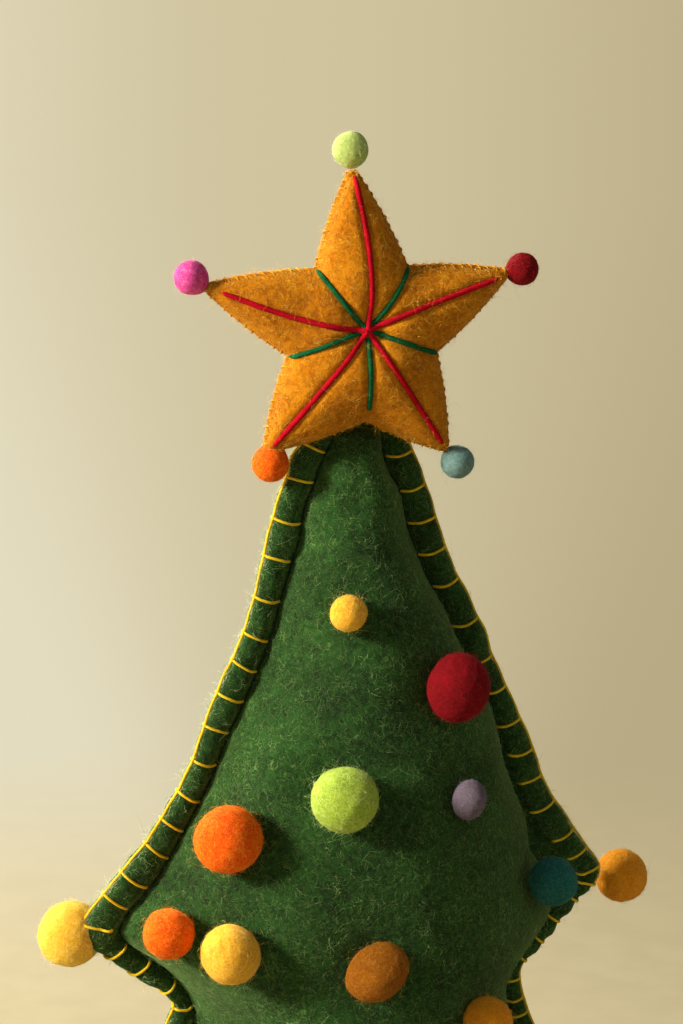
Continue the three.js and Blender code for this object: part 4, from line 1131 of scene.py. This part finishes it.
# Tips and notches hold the distance from the middle and the turn in degrees, counted from the top to the left
starSizes = {
    "tips": [(46.0, 2.2), (46.6, 0.6), (44.4, -2.8), (44.7, -0.9), (46.4, 1.4)],
    "notches": [(22.5, -1.1), (22.5, -0.2), (27.2, 3.6), (24.2, 0.4), (23.4, -1.8)],
    "tipRound": 2.2, "bow": 0.7, "perSide": 19, "perTip": 10,
    "middle": (0.9, 1.2), "place": (-5.5, -12, 330.7), "turns": (5, -3, -9.5),
    "swellDepth": 4.0, "plumpShare": 0.5, "dimple": 3.6, "dimpleWidth": 7.0,
    "seamShare": 0.98, "edgeHeight": 1.7, "edgeRound": 2.0, "creaseDepth": 1.0, "creaseWidth": 1.6,
    "stitchPitch": 2.6, "threadRadius": 0.24, "rings": 46, "felt": 3.0, "thinnest": 0.05,
}
t = starSizes
turnX, turnY, turnZ = (Matrix.Rotation(math.radians(angle), 4, axis) for angle, axis in zip(t["turns"], "XYZ"))
starPlace = np.array(Matrix.Translation(t["place"]) @ turnX @ turnY @ turnZ)
starTurn = starPlace[:3, :3].T


# Points of the star, turned and moved to its place
def toWorld(points):
    return points @ starTurn + starPlace[:3, 3]


# Points from places in the star's plane and their depths
def atDepth(places, depth):
    return np.stack([places[..., 0], depth, places[..., 1]], -1)


# A point some tenths of a turn from the top, at a cut place's own distance and turn
def atStep(tenths, cut, inward=0.0):
    angle = math.pi / 2 + math.pi * tenths / 5 + math.radians(cut[1])
    return (cut[0] - inward) * np.array([math.cos(angle), math.sin(angle)])


# Angle on a small circle where the straight line to a point touches it
def touchAngle(centre, point, way):
    toward = point - centre
    return math.atan2(toward[1], toward[0]) + way * math.acos(t["tipRound"] / np.linalg.norm(toward))


# Five arms cut by hand: straight sides that bow out a little, and a small arc at each tip
def starOutline():
    parts = []
    share = np.linspace(0, 1, t["perSide"] + 1)[:-1, None]
    for arm in range(5):
        centre = atStep(2 * arm, t["tips"][arm], t["tipRound"])
        first, second = atStep(2 * arm - 1, t["notches"][arm - 1]), atStep(2 * arm + 1, t["notches"][arm])
        entry, leave = touchAngle(centre, first, 1), touchAngle(centre, second, -1)
        angle = np.linspace(entry, entry + (leave - entry) % (2 * math.pi), t["perTip"] + 1)
        arc = centre + t["tipRound"] * np.stack([np.cos(angle), np.sin(angle)], -1)
        for start, end in ((first, arc[0]), (arc[-1], second)):
            sideways = np.array([end[1] - start[1], start[0] - end[0]]) / np.linalg.norm(end - start)
            parts.append(start + (end - start) * share + sideways * t["bow"] * np.sin(np.pi * share))
        parts.insert(-1, arc[:-1])
    return np.vstack(parts)


starEdge = starOutline()
closedEdge = np.vstack([starEdge, starEdge[:1]])
starRun = runAlong(closedEdge)
starSeam = closedEdge[::4] * t["seamShare"]
starSeam = np.vstack([starSeam, starSeam[:1]])
starMiddle = np.array(t["middle"])
armEnds = [atStep(2 * k, t["tips"][k]) for k in range(5)]
notchEnds = [atStep(2 * k + 1, t["notches"][k]) for k in range(5)]


# Places on the star's edge at lengths round it
def onEdge(run):
    return np.stack([np.interp(run, starRun, closedEdge[:, k]) for k in (0, 1)], -1)


fineEdge = onEdge(np.arange(0, starRun[-1], 0.25))

# For each yarn, in order from the top or from the notch left of it: share of the way, sideways bow
starYarns = {
    "red": {
        "radius": 0.9, "lift": 0.7, "sink": 1.4,
        "ends": [(0.965, -2.2), (0.905, 1.5), (0.945, 0.3), (0.935, 0.2), (0.92, 0.6)],
    },
    "green": {
        "radius": 0.8, "lift": 0.0, "sink": 1.2,
        "ends": [(0.97, 0.3), (0.97, -0.5), (0.84, 0.2), (0.97, 0.3), (0.97, -0.6)],
    },
}
starTwist = {"plies": 3, "twistPitch": 3.2, "plyDepth": 0.26}


# Sideways bend of a yarn at a distance from the star's middle
def yarnBend(bow, r, end):
    return bow * np.sin(np.pi * np.clip(r / end, 0, 1) ** 0.85)


# Height of the star's face: a rounded edge, the swell, creases under the yarn and a dimple in the middle
def starHeight(places):
    x, z = places[..., 0], places[..., 1]
    distance = np.empty(x.shape)
    for row in range(len(x)):
        distance[row] = np.sqrt(((places[row][..., None, :] - fineEdge) ** 2).sum(-1).min(-1))
    edge = np.sqrt(np.clip(1 - (1 - np.clip(distance / t["edgeRound"], 0, 1)) ** 2, 0, 1))
    room = np.where(distance > 0.05, reachTo(x, z, starSeam), 0)
    swell = np.sqrt(room * (t["swellDepth"] + t["plumpShare"] * room)) * np.clip(distance / 3.0, 0, 1) ** 0.5
    away = places - starMiddle
    dimple = t["dimple"] * np.exp(-((away ** 2).sum(-1) / t["dimpleWidth"] ** 2))
    crease = np.zeros(x.shape)
    for end, (share, bow) in zip(armEnds + notchEnds, starYarns["red"]["ends"] + starYarns["green"]["ends"]):
        reach = np.linalg.norm(end - starMiddle)
        way = (end - starMiddle) / reach
        along = away @ way
        off = away[..., 1] * way[0] - away[..., 0] * way[1] - yarnBend(bow, along, reach * share)
        here = np.exp(-(off / t["creaseWidth"]) ** 2) * np.clip(along / 3, 0, 1) * np.clip((reach - along) / 4, 0, 1)
        crease = np.maximum(crease, here)
    crease *= t["creaseDepth"] * np.clip(distance / 4, 0, 1)
    place = atDepth(places, np.full(x.shape, 60.0))
    lumps = (uneven("starLumps", place) + uneven("smallStarLumps", place)) * np.clip(distance / 6, 0, 1)
    return 0.3 + t["edgeHeight"] * edge + swell - dimple - crease + lumps


starShares = np.sin(np.linspace(0.03, 1, t["rings"]) * np.pi / 2) ** 0.9
starShares = starShares / starShares[-1]


# One face of the star: the outline, nicked by the whipped stitches, scaled down to the middle and raised
def starPanel(label, face):
    nick = 0.2 * (1 + np.cos(2 * np.pi * starRun[:-1] / t["stitchPitch"]))
    edge = starEdge * (1 - (nick / np.linalg.norm(starEdge, axis=1))[:, None])
    plan = edge[None] * starShares[:, None, None]
    height, middle = starHeight(plan), starHeight(np.zeros((1, 2)))
    skin, lining = (atDepth(plan, face * h) for h in (height, np.maximum(height - t["felt"], t["thinnest"])))
    ends = [[0, face * h, 0] for h in (middle[0], max(middle[0] - t["felt"], t["thinnest"]))]
    solid = ringSolid(toWorld(np.concatenate([skin, lining[::-1]])), *toWorld(np.array(ends)))
    addPiece(f"star_{label}_felt", [solid], mustardFelt, "star_felt", f"star_{label}_panel")
    return skin


starSkins = {face: starPanel(label, face) for label, face, _ in bothSides}

core = np.stack([starEdge * share * 0.9 for share in starShares[::4]])
coreDepth = np.maximum(starHeight(core) - t["felt"] - 0.6, 0.1)
coreRings = np.concatenate([atDepth(core, -coreDepth), atDepth(core, coreDepth)[::-1]])
addPiece("star_filling", [ringSolid(toWorld(coreRings))], whiteFilling, "filling", "star_stuffing")


# Whipped thread: a helix that winds over the star's edge once for each stitch, close to the felt
def whippedEdge():
    run = np.linspace(0, starRun[-1], int(starRun[-1] / 0.36))
    place = onEdge(run)
    along = np.gradient(place, axis=0)
    out = eased(unit(along) @ [[0, -1], [1, 0]], 4)
    turn = 2 * np.pi * run / t["stitchPitch"]
    inside = (0.62 - 0.78 * np.cos(turn) + 0.12 * np.sin(run * 0.7))[:, None]
    height = starHeight(place - out * np.maximum(inside, 0.1)) + 0.1
    depth = np.sign(np.sin(turn)) * np.abs(np.sin(turn)) ** 0.7 * height
    path = atDepth(place - out * inside, depth)
    return cordSolid(toWorld(path), t["threadRadius"], atDepth(along, 0 * depth) @ starTurn, 6)


addPiece("star_whipped_thread", [whippedEdge()], mustardThread, "thread_mustard", "star_edge_thread")


# Yarn laid in the creases from the middle out, sinking into the felt at its end
def starYarn(face, colour, targets):
    y = starYarns[colour]
    rng = np.random.default_rng(60 + face)
    parts = []
    for target, (share, bow) in zip(targets, y["ends"]):
        reach = np.linalg.norm(target - starMiddle)
        direction = (target - starMiddle) / reach
        across = np.array([-direction[1], direction[0]])
        r = np.linspace(0.0, reach * share, 80)
        places = starMiddle + direction * r[:, None] + across * yarnBend(bow, r, r[-1])[:, None]
        height = starHeight(places) + y["radius"] * 0.36 + y["lift"] * np.exp(-(r / 3.0) ** 2)
        sunk = np.clip((r - r[-1] + y["sink"]) / y["sink"], 0, 1) ** 2 * 1.5
        path = evenPath(atDepth(places, face * (height - sunk)), 0.45)
        taper = np.interp(np.linspace(0, 1, len(path)), [0, 0.9, 1], [1, 1, 0.6])
        normal = atDepth(across, 0) @ starTurn
        phase = rng.uniform(0, 6)
        parts.append(cordSolid(toWorld(path), y["radius"] * taper, normal, 12, phase=phase, **starTwist))
    return parts


for label, face, _ in bothSides:
    for colour, material, targets in (("green", greenYarn, notchEnds), ("red", redYarn, armEnds)):
        parts = starYarn(face, colour, targets)
        addPiece(f"star_{colour}_yarn_{label}", parts, material, "yarn_" + colour, f"star_yarn_{colour}_{label}")


# Two threads from the back of the crown over its top to the back of the star
def starTie(side):
    place = np.array([[5.5 + side * 2.5, -24.5]])
    end = toWorld(atDepth(place, starHeight(place) - 0.4))
    route = [(2.9, 300.5), (4.0, 302.5), (2.6, 305.3), (0, 305.9), (-2.6, 305.6)]
    corners = np.vstack([[(side * 2.5, y, z) for y, z in route], end])
    path = evenPath(eased(evenPath(corners, 0.5), 5), 0.5)
    return cordSolid(path, 0.4, (1, 0, 0), 6, plies=2, twistPitch=1.8, plyDepth=0.2)


for label, side in (("left", -1), ("right", 1)):
    addPiece("crown_tie_" + label, [starTie(side)], mustardThread, "thread_mustard", "star_tie_" + label)

# Ball on each tip: colour, tone, radius, and where its middle is seen from the tip, to the right and up. The turn
# takes these two into the star's plane, and a ball moves from its node by no more than the reach
starBalls = {
    "top": ("lime", "pale_lime", 5.15, 0.6, 5.9), "left": ("pink", "pink", 4.95, -3.5, 3.5),
    "lower_left": ("orange", "orange", 5.5, 1.5, -4.1), "lower_right": ("pale_blue", "pale_blue", 4.95, 2.95, -4.7),
    "right": ("red", "red", 4.75, 4.7, 0.0),
}
ballTurn, ballReach = math.radians(10.3), 5.5
for order, (name, (colour, tone, radius, right, up)) in enumerate(starBalls.items()):
    node = "star_ball_" + name
    rightWay, upWay = (np.array([math.cos(a), math.sin(a)]) for a in (ballTurn, ballTurn + math.pi / 2))
    wanted = toWorld(atDepth(armEnds[order] + right * rightWay + up * upWay, 0))
    shift = wanted - boxCentre(node)
    centre = boxCentre(node) + shift * min(1, ballReach / np.linalg.norm(shift))
    toward = unit(toWorld(atDepth(armEnds[order], 0)) - centre)
    woolBall("wool_star_" + name, node, centre, radius, colour, tone, toward, 300 + order, 0.4)
print("star made")


# Spots scattered evenly over a grid's surface, with the surface's own direction there
def scatter(skin, count, rng, weight):
    near, far = (skin[:-1, :-1], skin[:-1, 1:]), (skin[1:, :-1], skin[1:, 1:])
    normal = np.cross(far[1] - near[0], far[0] - near[1])
    area = np.linalg.norm(normal, axis=-1)
    normal = normal / np.maximum(area[..., None], 1e-9)
    chance = area * weight[:-1, :-1]
    i, j = np.unravel_index(rng.choice(area.size, count, p=(chance / chance.sum()).ravel()), area.shape)
    u, v = rng.random((2, count, 1))
    first, second = (near[k][i, j] * (1 - u) + far[k][i, j] * u for k in (0, 1))
    return first * (1 - v) + second * v, normal[i, j]


# Loose fibres of each kind: count, mean length, lift off the surface, lean outwards, thickness
fuzz = {
    "front_low": (8600, 3.0, 0.18, 0, 1), "front_high": (8600, 3.0, 0.324, 0, 1), "back_low": (6200, 3.0, 0.18, 0, 1),
    "edge": (4600, 2.4, 0.85, 0.6, 1.6), "star": (4000, 2.8, 0.22, 0, 1), "star_rim": (1333, 2.2, 0.6, 0, 1),
}
fuzzRadius, fuzzCurl = 0.026, 1.7
# More fibres on the left, the lit side, and on its edge: their pale tone paints light on that flank
edgeBand = np.zeros(planX.shape)
edgeBand[:, :7] = 1.4
edgeBand[:, -7:] = 1
litLeftMore = np.where(planX < 0, 1.5, 1.0)
wholeStar = np.ones(starSkins[1].shape[:2])
starRim = np.zeros(wholeStar.shape)
starRim[-14:] = 1


# Fibres over a surface; the normals face out, and some lean outwards from the middle
def fuzzOver(skin, face, kind, weight, rng):
    count, length, lift, lean, thick = fuzz[kind]
    place, normal = scatter(skin, count, rng, weight)
    normal *= np.sign(normal[:, 1] * face + 1e-9)[:, None]
    normal = unit(normal + np.sign(place[:, :1]) * [lean, 0, 0])
    return place, normal, rng.gamma(4, length / 4, count), rng.uniform(0.7, 1.4, count) * fuzzRadius * thick, lift


# One mesh of all the fibres given; on the star their places and normals turn with it
def fuzzPiece(name, given, material, slot, rng, onStar=False):
    parts = []
    for place, normal, length, thick, lift in given:
        if onStar:
            place, normal = toWorld(place), normal @ starTurn
        parts.append(fibreSolid(place, normal, length, thick, fuzzCurl, lift, rng))
    addPiece(name, parts, material, slot)


for label, face, _ in bothSides:
    rng = np.random.default_rng(500 + face)
    felt, star = feltSkins[face], starSkins[face]
    for kind in [key for key in fuzz if key.startswith(label)]:
        fuzzPiece("felt_fuzz_" + kind, [fuzzOver(felt, face, kind, litLeftMore, rng)], greenFuzz, "body_felt", rng)
    # The edge fibres carry painted rim light in their paler tone
    edge = fuzzOver(felt, face, "edge", edgeBand, rng)
    fuzzPiece(f"felt_fuzz_{label}_edge", [edge], backlitEdgeFuzz, "body_felt", rng)
    both = [fuzzOver(star, face, kind, weight, rng) for kind, weight in (("star", wholeStar), ("star_rim", starRim))]
    fuzzPiece("star_fuzz_" + label, both, mustardFuzz, "star_felt", rng, True)
print("loose fibres made")


# The camera stands back from its target; its right and up are turned by the roll
def addCamera():
    right = np.array([math.cos(azimuth), math.sin(azimuth), 0.0])
    up = np.cross(backward, right)
    data = bpy.data.cameras.new("camera")
    data.lens, data.sensor_width, data.clip_start = view["lens"], 36.0, 0.01
    matrix = np.eye(4)
    matrix[:3, 0] = right * math.cos(roll) + up * math.sin(roll)
    matrix[:3, 1] = up * math.cos(roll) - right * math.sin(roll)
    matrix[:3, 2], matrix[:3, 3] = backward, eye * metre
    camera = linked("camera", data)
    camera.matrix_world = Matrix(matrix.tolist())
    bpy.context.scene.camera = camera


addCamera()

# The background is lighter on the side that the light comes from
backdropTones = {"lit": (228, 220, 191), "middle": (208, 196, 159), "shaded": (184, 170, 132)}
backdropEnds = (0.08, 0.3, 0.56)


# Colour by direction: share of x in the length of (x, y), from the lit side to the shaded one
def backdropColour(tree, coords):
    flat = addNode(tree, "VectorMath", {0: coords, 1: (1, 1, 0)}, operation="MULTIPLY").outputs[0]
    level = addNode(tree, "VectorMath", {0: flat}, operation="NORMALIZE").outputs[0]
    across = addNode(tree, "SeparateXYZ", {0: level}).outputs[0]
    low, middle, high = backdropEnds
    lit = twoTones(tree, across, low, middle, backdropTones["lit"], backdropTones["middle"])
    return mixNode(tree, rangeNode(tree, across, middle, high), lit, srgb(*backdropTones["shaded"]))


# One where the camera, a reflection or a see-through ray looks, zero where light is gathered
def seenShare(tree):
    path = addNode(tree, "LightPath", {})
    camera, glossy, through = (path.outputs[f"Is {kind} Ray"] for kind in ("Camera", "Glossy", "Transmission"))
    return mathNode(tree, "MAXIMUM", mathNode(tree, "MAXIMUM", camera, glossy), through)


# Two shaders mixed by a share, joined to the output
def mixShader(tree, share, first, second, output):
    mix = addNode(tree, "MixShader", {0: share, 1: first, 2: second})
    tree.links.new(mix.outputs[0], tree.nodes[output].inputs["Surface"])


floorSizes = {
    "sides": 96, "level": -0.02, "radii": (200.0, 600.0, 2000.0, 12000.0, 80000.0), "fade": (0.28, 0.8),
    "low": (158, 148, 120), "high": (162, 152, 124),
}


# A wide floor: profile rings out from the middle; far off its colour passes into the background's
def addFloor():
    f = floorSizes
    sides, rows, turn = f["sides"], len(f["radii"]), roundTurn(f["sides"])
    rings = [np.stack([r * np.cos(turn), r * np.sin(turn), np.full(sides, f["level"])], -1) for r in f["radii"]]
    points = np.vstack(rings + [[[0, 0, f["level"]]]]) * metre
    j = np.arange(sides)
    middle = np.stack([np.full(sides, rows * sides), j, (j + 1) % sides], -1)
    quads = gridQuads(rows, sides, True)[:, [0, 3, 2, 1]]
    mesh = bpy.data.meshes.new("floor")
    mesh.from_pydata(points.tolist(), [], quads.tolist() + middle.tolist())
    material, tree, shader, coords = newMaterial("paleFloor")
    colour = twoTones(tree, noiseNode(tree, coords, 40.0, 3.0), 0.3, 0.7, f["low"], f["high"])
    feed(tree, shader, {"Base Color": colour, "Roughness": 0.95, "Specular IOR Level": 0.1})
    length = addNode(tree, "VectorMath", {0: coords}, operation="LENGTH").outputs["Value"]
    share = mathNode(tree, "MULTIPLY", rangeNode(tree, length, *f["fade"]), seenShare(tree))
    glow = addNode(tree, "Emission", {"Color": backdropColour(tree, coords)})
    mixShader(tree, share, shader.outputs[0], glow.outputs[0], "Material Output")
    mesh.materials.append(material)
    linked("floor", mesh)


addFloor()


# A round lamp that shines on the object's middle
def addLamp(name, place, size, power, tint):
    data = bpy.data.lights.new(name, "AREA")
    data.shape, data.size, data.energy, data.color = "DISK", size, power, tint
    lamp = linked(name, data)
    lamp.location = place
    lamp.rotation_euler = (Vector(place) - Vector((0, 0, 0.2))).to_track_quat("Z", "Y").to_euler()


addLamp("keyLamp", (-1.35, -0.12, 0.8), 0.36, 43.0, (1.0, 0.95, 0.84))
addLamp("fillLamp", (0.9, -1.3, 0.7), 1.1, 1.8, (1.0, 0.97, 0.92))
addLamp("rimLamp", (-0.7, 1.05, 0.95), 0.4, 36.0, (1.0, 0.94, 0.8))

world = bpy.data.worlds.new("studio")
world.use_nodes = True
bpy.context.scene.world = world
tree = world.node_tree
soft = tree.nodes["Background"]
feed(tree, soft, {"Color": (1.0, 0.98, 0.92, 1.0), "Strength": 0.2})
backdrop = backdropColour(tree, addNode(tree, "TexCoord", {}).outputs["Object"])
shown = addNode(tree, "Background", {"Color": backdrop})
mixShader(tree, seenShare(tree), soft.outputs[0], shown.outputs[0], "World Output")
bpy.context.scene.view_settings.view_transform = "Standard"

print("camera, floor and lamps set")
